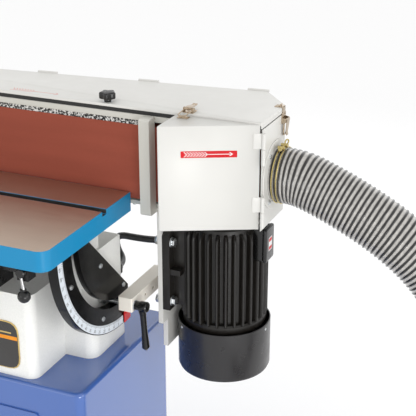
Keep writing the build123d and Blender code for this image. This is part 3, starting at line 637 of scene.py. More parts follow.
WHITE = Paint("white_paint", (0.695, 0.687, 0.655), 0.38, coat=0.10)
RAIL_GREY = Paint("grey_casting", (0.60, 0.59, 0.54), 0.42, coat=0.05)
PEDESTAL_WHITE = Casting("white_paint", (0.82, 0.82, 0.79), 0.42, coat=0.12, grain=0.10, drift=0.03)
BASE_BLUE = Paint("blue_paint", (0.045, 0.12, 0.40), 0.14, coat=1.0, peel=0.03)
ARM_BEIGE = Paint("arm_paint", (0.88, 0.83, 0.74), 0.42, coat=0.10)
BLACK_ENAMEL = Casting("black_casting", (0.008, 0.008, 0.008), 0.30, coat=0.05, shine=0.35)
GLOSS_BLACK = Paint("black_casting", (0.005, 0.005, 0.005), 0.20, coat=0.0, peel=0.03, shine=0.22)
BLACK_SHEET = Paint("black_sheet", (0.017, 0.016, 0.017), 0.30, coat=0.08)
MOTOR_BLACK = Casting("motor_black", (0.0105, 0.0088, 0.0072), 0.36, coat=0.05, grain=0.34, shine=0.40)
EDGE_BLUE = Paint("table_iron", (0.003, 0.235, 0.47), 0.34, coat=0.05, peel=0.3, shine=0.35)
TABLE_IRON = GroundIron("table_iron", (0.60, 0.51, 0.42), 0.38)
# Dark iron as painted shade: it darkens the table's underside and the walls of its mitre slot.
PAINTED_SHADE_IRON = Casting("table_iron", (0.035, 0.030, 0.026), 0.45)
STEEL = Metal("steel", (0.62, 0.61, 0.60), 0.32)
TURNED = Metal("alu", (0.72, 0.72, 0.73), 0.30, (1.0, 1.0, 0.05))
ZINC = Metal("zinc", (0.66, 0.68, 0.69), 0.26)
CHROME = Metal("black_plastic", (0.42, 0.42, 0.42), 0.16, marks=0.03)
NICKEL = Metal("nickel", (0.52, 0.42, 0.31), 0.22)
GOLD = Metal("gold_zinc", (0.58, 0.47, 0.20), 0.24)
BELT_RED = Grit("abrasive", (0.33, 0.078, 0.048), 0.85)
FELT = Speckle("graphite", (0.22, 0.22, 0.21), 0.75)
SEAL = Plastic("seal_rubber", (0.018, 0.018, 0.018), 0.6)
BLACK_PLASTIC = Plastic("black_plastic", (0.006, 0.006, 0.006), 0.24)
GREEN = Plastic("green_plastic", (0.01, 0.30, 0.05), 0.3)
RED = Plastic("red_plastic", (0.72, 0.012, 0.012), 0.32)
SCALE_WHITE = Paint("scale_white", (0.74, 0.79, 0.84), 0.35)
BADGE_BLACK = Paint("badge", (0.022, 0.020, 0.018), 0.3, coat=0.4)
BADGE_GOLD = Metal("badge", (0.75, 0.55, 0.22), 0.3)
HOSE = RibbedHose("hose_grey", (0.52, 0.50, 0.47), 0.22)
CABLE = Plastic("cable_black", (0.016, 0.016, 0.018), 0.35)


@dataclass(frozen=True)
class Print(Finish):
    """Printed ink on a label."""

    ink: str = "ink"

    def label(self) -> str:
        """One material for each ink."""
        return f"Print_{self.ink}"

    def draw(self, sheet: Sheet) -> None:
        """A faint unevenness of the print."""
        tone = sheet.ramp(sheet.noise(90.0), [(0.3, shade(self.colour, 0.93)), (0.7, self.colour)])
        sheet.tint(tone)
        sheet.set(Roughness=self.roughness, Specular_IOR_Level=0.25)


RED_INK = Print("red_plastic", (0.62, 0.004, 0.010), 0.35, ink="red")
WHITE_INK = Print("white_paint", (0.86, 0.86, 0.86), 0.35, ink="white")
ORANGE_INK = Print("badge", (0.85, 0.30, 0.02), 0.35, ink="orange")
BLACK_INK = Print("badge", (0.03, 0.03, 0.03), 0.35, ink="black")
PINK_INK = Print("red_plastic", (0.70, 0.36, 0.33), 0.35, ink="pink")


# ---------------------------------------------------------------- placing pieces
def settle(piece: bpy.types.Object, finish: Finish, body: str, *nodes: str) -> bpy.types.Object:
    """Dress a piece, hand it to its body and report it.

    Args:
        piece: the finished object.
        finish: its finish, or its first finish if it has more.
        body: name of the body that it moves with.
        nodes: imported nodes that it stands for.

    Returns:
        The same object.
    """
    if not piece.data.materials:
        piece.data.materials.append(finish.material())
    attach(piece, body)
    if nodes:
        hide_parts(*nodes)
    LOG.info("%s: %d faces on %s", piece.name, len(piece.data.polygons), body)
    return piece


def dress(finish: Finish, *nodes: str) -> None:
    """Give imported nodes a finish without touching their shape."""
    for name in nodes:
        mesh = FRAME["nodes"][name].data
        mesh.materials.clear()
        mesh.materials.append(finish.material())
        LOG.info("%s: dressed", name)


def eased(node: str, name: str, width: float, finish: Finish, segments: int = 2,
          crease: float = 40.0) -> bpy.types.Object:
    """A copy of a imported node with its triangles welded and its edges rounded.

    Args:
        node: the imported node.
        name: name of the new piece.
        width: width of the rounding.
        finish: its finish.
        segments: faces across each rounded edge.
        crease: angle in degrees from which an edge is rounded.

    Returns:
        The new piece, already settled in the node's place.
    """
    source = FRAME["nodes"][node]
    mesh = bpy.data.meshes.new(name)
    shell = bmesh.new()
    shell.from_mesh(source.data)
    bmesh.ops.remove_doubles(shell, verts=shell.verts, dist=2e-5)
    bmesh.ops.dissolve_limit(shell, angle_limit=math.radians(0.6), verts=shell.verts, edges=shell.edges)
    shell.to_mesh(mesh)
    shell.free()
    smoothed(mesh)
    piece = hung(name, mesh)
    bevel = piece.modifiers.new("rounding", "BEVEL")
    bevel.width = width
    bevel.segments = segments
    bevel.limit_method = "ANGLE"
    bevel.angle_limit = math.radians(crease)
    bevel.harden_normals = True
    level = piece.modifiers.new("level_faces", "WEIGHTED_NORMAL")
    level.keep_sharp = True
    return settle(piece, finish, FRAME_BODY[node], node)


FRAME: dict = {}
FRAME_BODY: dict[str, str] = {}


# ---------------------------------------------------------------- studio
@dataclass
class Studio:
    """Pale floor, soft lights and the camera."""

    eye: tuple[float, float, float] = (1.223, -1.7143, 1.7299)
    gaze: tuple[float, float, float] = (-0.3695, 0.8510, -0.3732)
    lens: float = 93.5
    sky: float = 1.0

    def build(self) -> None:
        """Put up the camera, the lights and the floor."""
        camera = bpy.data.cameras.new("camera")
        camera.lens = self.lens
        camera.sensor_width = 36.0
        camera.clip_end = 60.0
        holder = hung("camera", camera)
        holder.location = self.eye
        holder.rotation_euler = Vector(self.gaze).to_track_quat("-Z", "Y").to_euler()
        bpy.context.scene.camera = holder

        half = 14.0
        mesh = bpy.data.meshes.new("studio_floor")
        corners = [(-half, -half, 0), (half, -half, 0), (half, half, 0), (-half, half, 0)]
        mesh.from_pydata(corners, [], [(0, 1, 2, 3)])
        floor = hung("studio_floor", mesh)
        sheet = Sheet("studio_floor")
        sheet.set(Base_Color=(0.97, 0.97, 0.97, 1), Roughness=0.9, Specular_IOR_Level=0.1)
        mesh.materials.append(sheet.material)

        world = bpy.data.worlds.new("studio")
        world.use_nodes = True
        world.node_tree.nodes["Background"].inputs["Color"].default_value = (1.0, 1.0, 1.0, 1)
        world.node_tree.nodes["Background"].inputs["Strength"].default_value = self.sky
        bpy.context.scene.world = world
        bpy.context.scene.view_settings.view_transform = "Standard"
        self.lamp("key", (-1.5, -3.5, 1.6), (0.0, 0.0, 0.8), 2.0, 10.0)
        self.lamp("low", (1.9, -1.5, 0.5), (0.24, 0.0, 0.66), 0.9, 1.5, 50.0)
        self.lamp("fill", (3.6, -0.3, 1.4), (0.4, 0.0, 0.9), 1.8, 16.0)
        self.lamp("rim", (0.6, 3.0, 2.2), (0.2, 0.1, 1.0), 2.0, 8.0)

    def lamp(self, name: str, place: tuple[float, float, float], target: tuple[float, float, float],
             size: float, watts: float, spread: float = 180.0) -> None:
        """Hang one square soft light, aimed at a point, with its spread in degrees."""
        light = bpy.data.lights.new(name, "AREA")
        light.energy = watts
        light.size = size
        light.spread = math.radians(spread)
        holder = hung(name, light)
        holder.location = place
        holder.rotation_euler = (Vector(target) - Vector(place)).to_track_quat("-Z", "Y").to_euler()


# ---------------------------------------------------------------- dust hose and cable
@dataclass
class DustHose:
    """Wire-wound dust hose from the port down to the floor, its clamp, port and cuff."""

    radius: float = 54.0 * MM
    pitch: float = 10.3 * MM
    relief: float = 2.5 * MM
    gather: float = 2.6
    wall: float = 50.0 * MM
    route: list[tuple[float, float, float]] = field(default_factory=lambda: [
        (0.5695, 0.122, 1.018), (0.602, 0.122, 1.018), (0.634, 0.122, 1.012), (0.716, 0.122, 0.979),
        (0.808, 0.122, 0.930), (0.886, 0.122, 0.868), (0.941, 0.122, 0.786), (0.973, 0.122, 0.640),
        (0.966, 0.120, 0.357), (0.960, 0.063, 0.218), (0.957, -0.043, 0.112), (0.955, -0.182, 0.0545),
        (0.955, -0.330, 0.0545)])

    def skin(self, path: Array, sides: int = 40) -> tuple[Patch, Array]:
        """Outer skin and inner wall of the hose.

        The radius rises over the wire once a turn: r = R - relief * (1 - wire(phase)), and the phase is
        the turns run so far less the angle, so the wire winds round as a helix, closer at the port.

        Args:
            path: points along the centreline.
            sides: points round the hose.

        Returns:
            The patch, and how far each of its points is on the film.
        """
        side, other = frames(path)
        run = run_along(path)
        angle = np.linspace(0, 2 * np.pi, sides, endpoint=False)
        turns = run / self.pitch + self.gather * (1 - np.exp(-run / (90 * MM)))
        phase = (turns[:, None] - angle[None] / (2 * np.pi)) % 1.0
        away = np.abs(phase - 0.5)
        wire = 1 / (1 + np.exp(-(0.21 - away) * 36.0))
        film = 1 / (1 + np.exp(-(away - 0.25) * 60.0))
        reach = self.radius - self.relief * (1 - wire) + 0.5 * MM * film * np.sin(np.pi * (away - 0.2) / 0.6)
        around = spokes(side, other, angle)
        outer = path[:, None] + reach[..., None] * around
        inner = (path[:, None] + self.wall * around)[::-1][::8]
        inner = np.concatenate([inner, (path[:1, None] + self.wall * around[:1])])
        rings = np.concatenate([outer, inner])
        amount = np.concatenate([film, np.zeros(inner.shape[:2])]).ravel()
        return loft(rings, looped=True), amount

    def build(self) -> bpy.types.Object:
        """Make the hose and everything on it."""
        cuff = self.cuff()
        path = nurbs_path("hose_line", self.route, self.pitch / 9.0)
        patch, film = self.skin(path)
        mesh = bpy.data.meshes.new("dust_hose_skin")
        mesh.from_pydata(patch.points.tolist(), [], patch.faces)
        mesh.attributes.new("film", "FLOAT", "POINT").data.foreach_set("value", film.astype(np.float32))
        smoothed(mesh)
        shell = bmesh.new()
        shell.from_mesh(mesh)
        bmesh.ops.recalc_face_normals(shell, faces=shell.faces)
        shell.to_mesh(mesh)
        shell.free()
        hose = hung("dust_hose_skin", mesh)
        mesh.materials.append(HOSE.material())
        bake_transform(hose)
        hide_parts("dust_hose")
        self.port()
        self.clamp()
        return hose

    def cuff(self) -> bpy.types.Object:
        """Moulded cuff on the hose's free end, with a grip collar and a thin spigot."""
        low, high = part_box("hose_cuff")
        front, back = low.y, high.y
        r_out, r_in = 50.8 * MM, 47.8 * MM
        collar = 54.0 * MM
        run = back - front
        profile = [(r_in, 0), (r_out - 0.8 * MM, 0), (r_out, 1 * MM), (r_out, run - 16 * MM),
                   (collar - 1 * MM, run - 14.5 * MM), (collar, run - 13 * MM), (collar, run - 9 * MM),
                   (collar - 1.5 * MM, run - 8 * MM), (collar - 1.5 * MM, run - 6.5 * MM),
                   (collar, run - 5.5 * MM), (collar, run - 0.2 * MM), (r_in, run - 0.2 * MM)]
        middle = (low + high) / 2
        patch = lathe(profile, 72, looped=True).along(Along.BACK).at(middle.x, front, middle.z)
        return settle(patch.build("hose_cuff_moulding"), BLACK_PLASTIC, "root", "hose_cuff")

    def port(self) -> None:
        """Flanged dust port and its four screws."""
        low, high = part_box("dust_port")
        y, z = (low.y + high.y) / 2, (low.z + high.z) / 2
        r_out, r_in, flange = 49.9 * MM, 48.4 * MM, (high.y - low.y) / 2
        run = high.x - low.x - 13 * MM
        profile = [(r_in, 0), (flange - 0.6 * MM, 0), (flange, 0.6 * MM), (flange, 2.2 * MM),
                   (flange - 0.8 * MM, 3 * MM), (r_out + 3 * MM, 3 * MM), (r_out, 6 * MM),
                   (r_out, run - 0.5 * MM), (r_out - 0.5 * MM, run), (r_in, run)]
        patch = lathe(profile, 72, looped=True).along(Along.RIGHT).at(low.x, y, z)
        settle(patch.build("dust_port_flange"), WHITE, "head", "dust_port")
        heads, circle_of_screws = [], 59 * MM
        for degrees in (52, 128, 232, 308):
            angle = math.radians(degrees)
            head = pan_head(4.6 * MM, 3.0 * MM).along(Along.RIGHT)
            heads.append(head.at(low.x + 3 * MM, y + circle_of_screws * math.cos(angle),
                                 z + circle_of_screws * math.sin(angle)))
        settle(joined(heads).build("dust_port_screws"), ZINC, "head", "port_screws")

    def clamp(self) -> None:
        """Double-wire hose clamp with its screw block and loop on top."""
        low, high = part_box("hose_clamp")
        y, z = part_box("dust_port")[0].y + 68 * MM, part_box("dust_port")[0].z + 68 * MM
        wire, ring = 1.35 * MM, self.radius + 0.4 * MM
        angle = np.linspace(0, 2 * np.pi, 73)[:-1]
        parts = []
        for x in (low.x + 1.5 * MM, high.x - 1.5 * MM):
            hoop = np.stack([np.full(72, x), y + ring * np.cos(angle), z + ring * np.sin(angle)], -1)
            out = np.stack([0 * angle, np.cos(angle), np.sin(angle)], -1)
            turn = np.linspace(0, 2 * np.pi, 10, endpoint=False)
            rings = hoop[:, None] + wire * (np.cos(turn)[None, :, None] * out[:, None]
                                            + np.sin(turn)[None, :, None] * np.array([1.0, 0, 0]))
            parts.append(loft(rings, looped=True))
        top = z + ring + 3.6 * MM
        for offset in (-13 * MM, 5 * MM):
            nut = lathe([(0, 0), (3.4 * MM, 0), (3.8 * MM, 0.5 * MM), (3.8 * MM, 13.5 * MM),
                         (3.4 * MM, 14 * MM), (0, 14 * MM)], 24).along(Along.RIGHT)
            parts.append(nut.at(low.x - 1 * MM, y + offset, top))
        screw = lathe([(0, 0), (2.1 * MM, 0), (2.1 * MM, 29 * MM), (4.4 * MM, 29 * MM), (4.8 * MM, 29.6 * MM),
                       (4.8 * MM, 32 * MM), (4.2 * MM, 33 * MM), (0, 33 * MM)], 20).along(Along.FRONT)
        middle = (low.x + high.x) / 2
        parts.append(screw.at(middle, y + 12 * MM, top))
        loop = smooth_path([(middle, y + 5 * MM, top + 2 * MM), (middle, y + 10 * MM, top + 9 * MM),
                            (middle + 2 * MM, y + 20 * MM, top + 8 * MM),
                            (middle + 3 * MM, y + 19 * MM, top + 1 * MM), (middle, y + 8 * MM, top - 1 * MM)])
        parts.append(tube(loop, 1.5 * MM, 10))
        settle(joined(parts).build("hose_clamp_wire"), GOLD, "head", "hose_clamp")


@dataclass
class MotorCable:
    """Black cable from the gland on the pedestal to the motor plate."""

    radius: float = 7.25 * MM
    route: list[tuple[float, float, float]] = field(default_factory=lambda: [
        (0.230, 0.1035, 0.770), (0.226, 0.136, 0.766), (0.200, 0.150, 0.789), (0.205, 0.143, 0.822),
        (0.262, 0.132, 0.827), (0.305, 0.122, 0.834), (0.3465, 0.112, 0.845)])

    def build(self) -> None:
        """Make the cable and its gland."""
        path = nurbs_path("cable_line", self.route, 2.0 * MM)
        cable = tube(path, self.radius, 24).build("motor_cable", 50.0)
        cable.data.materials.append(CABLE.material())
        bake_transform(cable)
        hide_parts("cable_conduit")
        low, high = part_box("conduit_gland")
        x, z = (low.x + high.x) / 2, (low.z + high.z) / 2
        nut = slab(hexagon(28 * MM), 0, 7 * MM, 1.0 * MM)
        dome = lathe([(0, 6.9 * MM), (12 * MM, 6.9 * MM), (12 * MM, 11 * MM), (10.5 * MM, 16 * MM),
                      (8.6 * MM, 19.0 * MM), (0, 19.0 * MM)], 32)
        gland = (nut + dome).along(Along.BACK).at(x, low.y, z)
        settle(gland.build("cable_gland"), BLACK_PLASTIC, "root", "conduit_gland")


# ---------------------------------------------------------------- casing of the head
@dataclass
class Casing:
    """Lid, rail, hood walls, wedge door, latches, hinges and the belt behind them."""

    bend: float = 2.4 * MM
    sheet: float = 2.0 * MM
    corner_y: float = 176.0 * MM
    back: tuple[float, float] = (501.0 * MM, 252.0 * MM)
    taper: float = 0.103
    label: tuple[float, float] = (104.0 * MM, 13.0 * MM)

    def plan(self) -> Array:
        """Plan outline of the lid, with its corners slightly rounded."""
        low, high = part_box("lid")
        left_back = self.back[1] + self.taper * (low.x - self.back[0])
        return rounded([(low.x, low.y), (high.x, low.y), (high.x, self.corner_y), self.back,
                        (low.x, left_back)], 2.0 * MM, 4)

    def build(self) -> None:
        """Make every piece of the casing."""
        self.lid()
        self.door()
        self.latches()
        eased("hood_shell", "hood_walls", 0.5 * MM, WHITE)
        eased("rear_cover", "rear_sheet", 0.5 * MM, WHITE)
        eased("idler_guard", "idler_guard_sheet", 0.5 * MM, WHITE)
        eased("top_rail", "rail_bar", 1.2 * MM, RAIL_GREY)
        eased("work_stop", "work_stop_bar", 1.2 * MM, RAIL_GREY)
        eased("head_frame", "frame_casting", 1.2 * MM, RAIL_GREY)
        eased("lid_hinges", "lid_hinge_leaves", 0.5 * MM, WHITE)
        dress(SEAL, "lid_seal")
        dress(FELT, "platen_pad")
        dress(STEEL, "platen", "idler_carriage")
        self.belt()
        self.small_bolts()

    def lid(self) -> None:
        """Folded lid with its lobed clamp knob and the faded flat mark near its front edge."""
        low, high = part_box("lid")
        lid = tray(self.plan(), low.z, high.z, self.bend, self.sheet).build("lid_sheet")
        settle(lid, WHITE, "lid", "lid")
        skirt = np.array([(high.x, low.y + 0.4 * MM), (high.x, self.corner_y), self.back,
                          (self.back[0] - 1.5 * MM, self.back[1] - 1.3 * MM),
                          (high.x - self.sheet, self.corner_y - 0.7 * MM),
                          (high.x - self.sheet, low.y + 0.4 * MM)])
        wall_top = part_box("hood_shell")[1].z
        skirt_sheet = slab(skirt, wall_top + 2.6 * MM, low.z + 0.3 * MM, 0.2 * MM, 1)
        settle(skirt_sheet.build("lid_skirt"), WHITE, "lid")
        bottom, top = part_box("lid_knob")
        x, y = 240 * MM, 62 * MM
        grip = slab(star(15.0 * MM, 5, 0.12), high.z + 6 * MM, top.z - 0.2 * MM, 3.2 * MM, 4)
        dome = lathe([(0, top.z - 1.4 * MM), (8 * MM, top.z - 1.2 * MM), (5.5 * MM, top.z),
                      (0, top.z)], 32)
        neck = lathe([(0, bottom.z), (4 * MM, bottom.z), (4 * MM, high.z + 0.3 * MM),
                      (7 * MM, high.z + 0.4 * MM), (7.6 * MM, high.z + 3 * MM), (6.8 * MM, high.z + 7 * MM),
                      (0, high.z + 7 * MM)], 32)
        knob = (neck.at(x, y) + grip.at(x, y) + dome.at(x, y)).build("lid_clamp_knob")
        settle(knob, BLACK_PLASTIC, "lid_knob", "lid_knob")
        washer = lathe([(4.3 * MM, 0), (9.5 * MM, 0), (9.5 * MM, 0.25 * MM), (4.3 * MM, 0.25 * MM)], 32,
                       looped=True).at(x, y, high.z)
        settle(washer.build("lid_knob_washer"), ZINC, "lid")
        self.arrow(length=124 * MM, width=11 * MM, name="lid_arrow", ink=PINK_INK, plate=None,
                   place=lambda p: p.at(0.012, 0.066, high.z), body="lid")

    def chevron(self, start: float, stroke: float, depth: float, half: float) -> Array:
        """Outline of one V lying on its side and pointing along +X."""
        return np.array([(start, -half), (start + stroke, -half), (start + stroke + depth, 0.0),
                         (start + stroke, half), (start, half), (start + depth, 0.0)])

    def arrow(self, length: float, width: float, name: str, ink: Finish, plate: Finish | None,
              place, body: str) -> None:
        """A direction arrow with a fletched tail, lying on its own XY plane and pointing along +X.

        Args:
            length: length of the whole mark.
            width: height of the fletching.
            name: name of the pieces.
            ink: ink of the arrow.
            plate: ink of the field behind it, or None for bare paint.
            place: function that puts a patch in its place on the machine.
            body: body that the mark rides on.
        """
        thick, line = 0.10 * MM, width * 0.10
        base = 0.0
        if plate:
            field_height = 0.25 * MM
            patch = slab(rectangle(0, length, -width, width, 0.8 * MM), 0.02 * MM, field_height, 0.05 * MM, 1)
            settle(place(patch).build(f"{name}_field"), plate, body)
            base = field_height
        parts = [slab(rectangle(0.44 * length, 0.90 * length, -line, line), base, base + thick, 0.02 * MM, 1)]
        for k in range(8):
            parts.append(slab(self.chevron(0.05 * length + 0.052 * k * length, 0.019 * length, 0.05 * length,
                                           0.72 * width), base, base + thick, 0.02 * MM, 1))
        parts.append(slab(self.chevron(0.855 * length, 0.022 * length, 0.05 * length, 0.55 * width),
                          base, base + thick, 0.02 * MM, 1))
        settle(place(joined(parts)).build(f"{name}_mark"), ink, body)

    def door(self) -> None:
        """Folded wedge door: a side and a face round one soft bend, with a flange top and bottom."""
        low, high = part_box("door")
        right, left = low.x + 170.0 * MM, low.x
        front, back = low.y, 48.0 * MM - 0.2 * MM
        corner = 5.0 * MM
        along_face = np.array([right - left, back - 1.0 * MM - front])
        along_face /= np.linalg.norm(along_face)
        t = np.linspace(0, 1, 7)[:, None]
        first = np.array([left, front + corner])
        last = np.array([left, front]) + corner * along_face
        turn = (1 - t) ** 2 * first + 2 * t * (1 - t) * np.array([left, front]) + t ** 2 * last
        line = np.vstack([[(left, back)], turn, [(right, back - 1.0 * MM)]])
        bend = 1.6 * MM
        depth = np.array([bend, 0.45 * bend, 0.0, 0.0, 0.45 * bend, bend])
        height = np.array([low.z, low.z + 0.3 * bend, low.z + bend,
                           high.z - bend, high.z - 0.3 * bend, high.z])
        inward = self._inward(line)
        rows = line[None] + depth[:, None, None] * inward[None]
        rows[:, 0, 1] = back
        points = np.concatenate([rows, np.broadcast_to(height[:, None, None], (6, len(line), 1))], -1)
        index = np.arange(6 * len(line)).reshape(6, len(line))
        quads = np.stack([index[:-1, :-1], index[:-1, 1:], index[1:, 1:], index[1:, :-1]], -1).reshape(-1, 4)
        faces = [tuple(q) for q in quads.tolist()]
        faces += [tuple(index[0][::-1].tolist()), tuple(index[-1].tolist())]
        mesh = bpy.data.meshes.new("door_sheet")
        mesh.from_pydata(points.reshape(-1, 3).tolist(), [], faces)
        smoothed(mesh)
        mesh.set_sharp_from_angle(angle=math.radians(50))
        door = hung("door_sheet", mesh)
        wall = door.modifiers.new("sheet", "SOLIDIFY")
        wall.thickness = self.sheet
        wall.offset = -1.0
        settle(door, WHITE, "door", "door")
        self.door_hinges(low, high, right, along_face)
        normal = np.array([along_face[1], -along_face[0]])
        angle = math.degrees(math.atan2(along_face[1], along_face[0]))
        length, width = self.label
        start = np.array([left, front]) + along_face * 44.0 * MM + normal * 0.05 * MM

        def on_face(patch: Patch) -> Patch:
            """Stand the mark upright on the slanted face."""
            return patch.along(Along.FRONT).turned(angle).at(start[0], start[1], 1082.0 * MM)

        self.arrow(length, width / 2, "door_arrow", WHITE_INK, RED_INK, on_face, "door")

    def _inward(self, line: Array) -> Array:
        """Unit normals of an open line, pointing into the wedge."""
        step = np.gradient(line, axis=0)
        step /= np.linalg.norm(step, axis=1)[:, None]
        return np.stack([-step[:, 1], step[:, 0]], -1)

    def door_hinges(self, low: Vector, high: Vector, right: float, along_face: Array) -> None:
        """Lift-off hinges: fixed barrels with pins on the wall, moving barrels and leaves on the door."""
        x, y, r, leaf_reach = 569.5 * MM, 47.0 * MM, 3.6 * MM, 12.5 * MM
        tip = (562.0 * MM, 47.0 * MM)
        angle = math.degrees(math.atan2(along_face[1], along_face[0]))
        fixed, moving = [], []
        for z in (934.0 * MM, 1059.0 * MM):
            middle = z + 31.0 * MM
            fixed.append(self.barrel(r, middle - z).at(x, y, z))
            fixed.append(lathe([(0, 0), (2 * MM, 0), (2 * MM, 57 * MM), (0, 58 * MM)], 16).at(x, y, z))
            leaf = slab(rectangle(y - 1 * MM, y + 15 * MM, z, middle, 1.5 * MM),
                        565 * MM, 566.4 * MM, 0.3 * MM)
            fixed.append(leaf.along(Along.RIGHT))
            moving.append(self.barrel(r, 30.5 * MM).at(x, y, middle + 0.4 * MM))
            strap = slab(rectangle(-leaf_reach, 6.7 * MM, 0.4 * MM, 30.6 * MM, 1.5 * MM),
                         -0.2 * MM, 0.9 * MM, 0.25 * MM)
            moving.append(strap.along(Along.FRONT).turned(angle).at(tip[0], tip[1], middle))
        settle(joined(fixed).build("door_hinge_posts"), WHITE, "head", "door_hinges")
        settle(joined(moving).build("door_hinge_leaves"), WHITE, "door")

    def barrel(self, radius: float, length: float) -> Patch:
        """Short hinge barrel with eased ends."""
        ease = 0.6 * MM
        return lathe([(0, 0), (radius - ease, 0), (radius, ease), (radius, length - ease),
                      (radius - ease, length), (0, length)], 28)

    def latches(self) -> None:
        """Toggle latches: base with ears, pressed lever and wire bail, with a keeper for each."""
        low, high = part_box("front_latch_base")
        x, y, z = (low.x + high.x) / 2, 58.0 * MM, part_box("lid")[1].z
        settle(self.latch_base().turned(-90).at(x, y, z).build("front_latch_plate"), NICKEL, "lid",
               "front_latch_base")
        settle(self.latch_lever().turned(90).at(x, y, z).build("front_latch_handle"), NICKEL,
               "front_latch_lever", "front_latch_lever")
        foot = slab(rectangle(-11 * MM, 11 * MM, -7 * MM, 7 * MM, 1.5 * MM), 0, 1.2 * MM, 0.3 * MM)
        bar = lathe([(0, -9 * MM), (1.9 * MM, -9 * MM), (1.9 * MM, 9 * MM), (0, 9 * MM)], 16)
        keeper = foot + bar.along(Along.RIGHT).at(0, 0, 1.6 * MM)
        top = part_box("door")[1].z
        settle(keeper.at(x, 33 * MM, top).build("front_latch_keeper"), NICKEL, "door")

        x, y, z = 565.0 * MM, 163.0 * MM, 1115.0 * MM
        stand = self.latch_base(reach=30 * MM).turned(180).along(Along.RIGHT).turned(90, "X").at(x, y, z)
        settle(stand.build("end_latch_plate"), NICKEL, "head", "end_latch_base")
        hang = self.latch_lever().along(Along.RIGHT).turned(-90, "X").at(x, y, z)
        settle(hang.build("end_latch_handle"), NICKEL, "end_latch_lever", "end_latch_lever")
        lid_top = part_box("lid")[1].z
        plate = slab(rectangle(-16 * MM, 1.6 * MM, -8 * MM, 8 * MM, 1 * MM), 0, 1.2 * MM, 0.3 * MM)
        plate += slab(rectangle(-7 * MM, 7 * MM, -11 * MM, 1.2 * MM, 1.5 * MM), 0.4 * MM, 1.6 * MM, 0.3 * MM
                      ).along(Along.RIGHT)
        hook = tube(smooth_path([(-8 * MM, -5 * MM, 1 * MM), (-4 * MM, -5 * MM, 5 * MM),
                                 (-4 * MM, 5 * MM, 5 * MM), (-8 * MM, 5 * MM, 1 * MM)]), 1.2 * MM, 10)
        settle((plate + hook).at(x, y, lid_top).build("end_latch_keeper"), NICKEL, "lid")

    def latch_base(self, reach: float = 36 * MM) -> Patch:
        """Base plate, two ears and the wire bail, with the bail along +X from the pivot."""
        plate = slab(rectangle(-15 * MM, 7 * MM, -11 * MM, 11 * MM, 2 * MM), 0, 1.4 * MM, 0.4 * MM)
        ears = [slab(rounded([(-6 * MM, 0), (6 * MM, 0), (3.5 * MM, 10 * MM), (-3.5 * MM, 10 * MM)], 2 * MM),
                     w, w + 1.2 * MM, 0.3 * MM).along(Along.FRONT) for w in (-10.6 * MM, 9.4 * MM)]
        rivets = [pan_head(2.2 * MM, 1.2 * MM).at(-11 * MM, s * 6.5 * MM, 1.3 * MM) for s in (-1, 1)]
        bail = tube(smooth_path([(0.5 * MM, -8.6 * MM, 5 * MM), (0.55 * reach, -8.2 * MM, 4.6 * MM),
                                 (reach, -8 * MM, 3.2 * MM), (reach, 8 * MM, 3.2 * MM),
                                 (0.55 * reach, 8.2 * MM, 4.6 * MM), (0.5 * MM, 8.6 * MM, 5 * MM)]),
                    1.25 * MM, 12)
        return joined([plate, *ears, *rivets, bail])

    def latch_lever(self) -> Patch:
        """Pressed lever along +X from the pivot, narrowing to a curled lip, 7 mm above the base."""
        run = np.linspace(-4 * MM, 30 * MM, 14)
        half = np.interp(run, [-4 * MM, 12 * MM, 30 * MM], [7.3 * MM, 6.8 * MM, 4.6 * MM])
        lip = 22.0 * np.maximum(run - 22 * MM, 0) ** 2
        lift = 8.2 * MM + 1.2 * MM * np.cos(run / (30 * MM) * np.pi) + lip
        thick = 1.1 * MM
        rings = np.stack([np.stack([run, -half, lift], -1), np.stack([run, half, lift], -1),
                          np.stack([run, half, lift + thick], -1),
                          np.stack([run, -half, lift + thick], -1)], 1)
        pin = lathe([(0, -7.4 * MM), (2.4 * MM, -7.4 * MM), (2.4 * MM, 7.4 * MM), (0, 7.4 * MM)], 20
                    ).along(Along.BACK).at(0, 0, 7 * MM)
        return loft(rings) + pin

    def belt(self) -> None:
        """The abrasive belt, smooth round both drums, with its slanting splice."""
        eased("abrasive_belt", "belt_loop", 0.12 * MM, BELT_RED, 1, 60.0)
        low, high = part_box("abrasive_belt")
        splice = np.array([(-0.30, low.z), (-0.298, low.z), (-0.212, high.z), (-0.214, high.z)])
        patch = slab(splice, -low.y, -low.y + 0.06 * MM, 0.02 * MM, 1).along(Along.FRONT)
        settle(patch.build("belt_splice"), Print("abrasive", (0.20, 0.045, 0.03), 0.8, ink="splice"), "head")
        dress(TURNED, "idler_drum", "drive_drum")

    def small_bolts(self) -> None:
        """Cap screws under the frame's front lip."""
        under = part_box("work_stop")[0].z + 9 * MM
        heads = [pan_head(4.2 * MM, 3.6 * MM).along(Along.DOWN).at(x, 58 * MM, under)
                 for x in (-0.28, -0.10, 0.10, 0.295, 0.312)]
        settle(joined(heads).build("frame_lip_screws"), ZINC, "head")


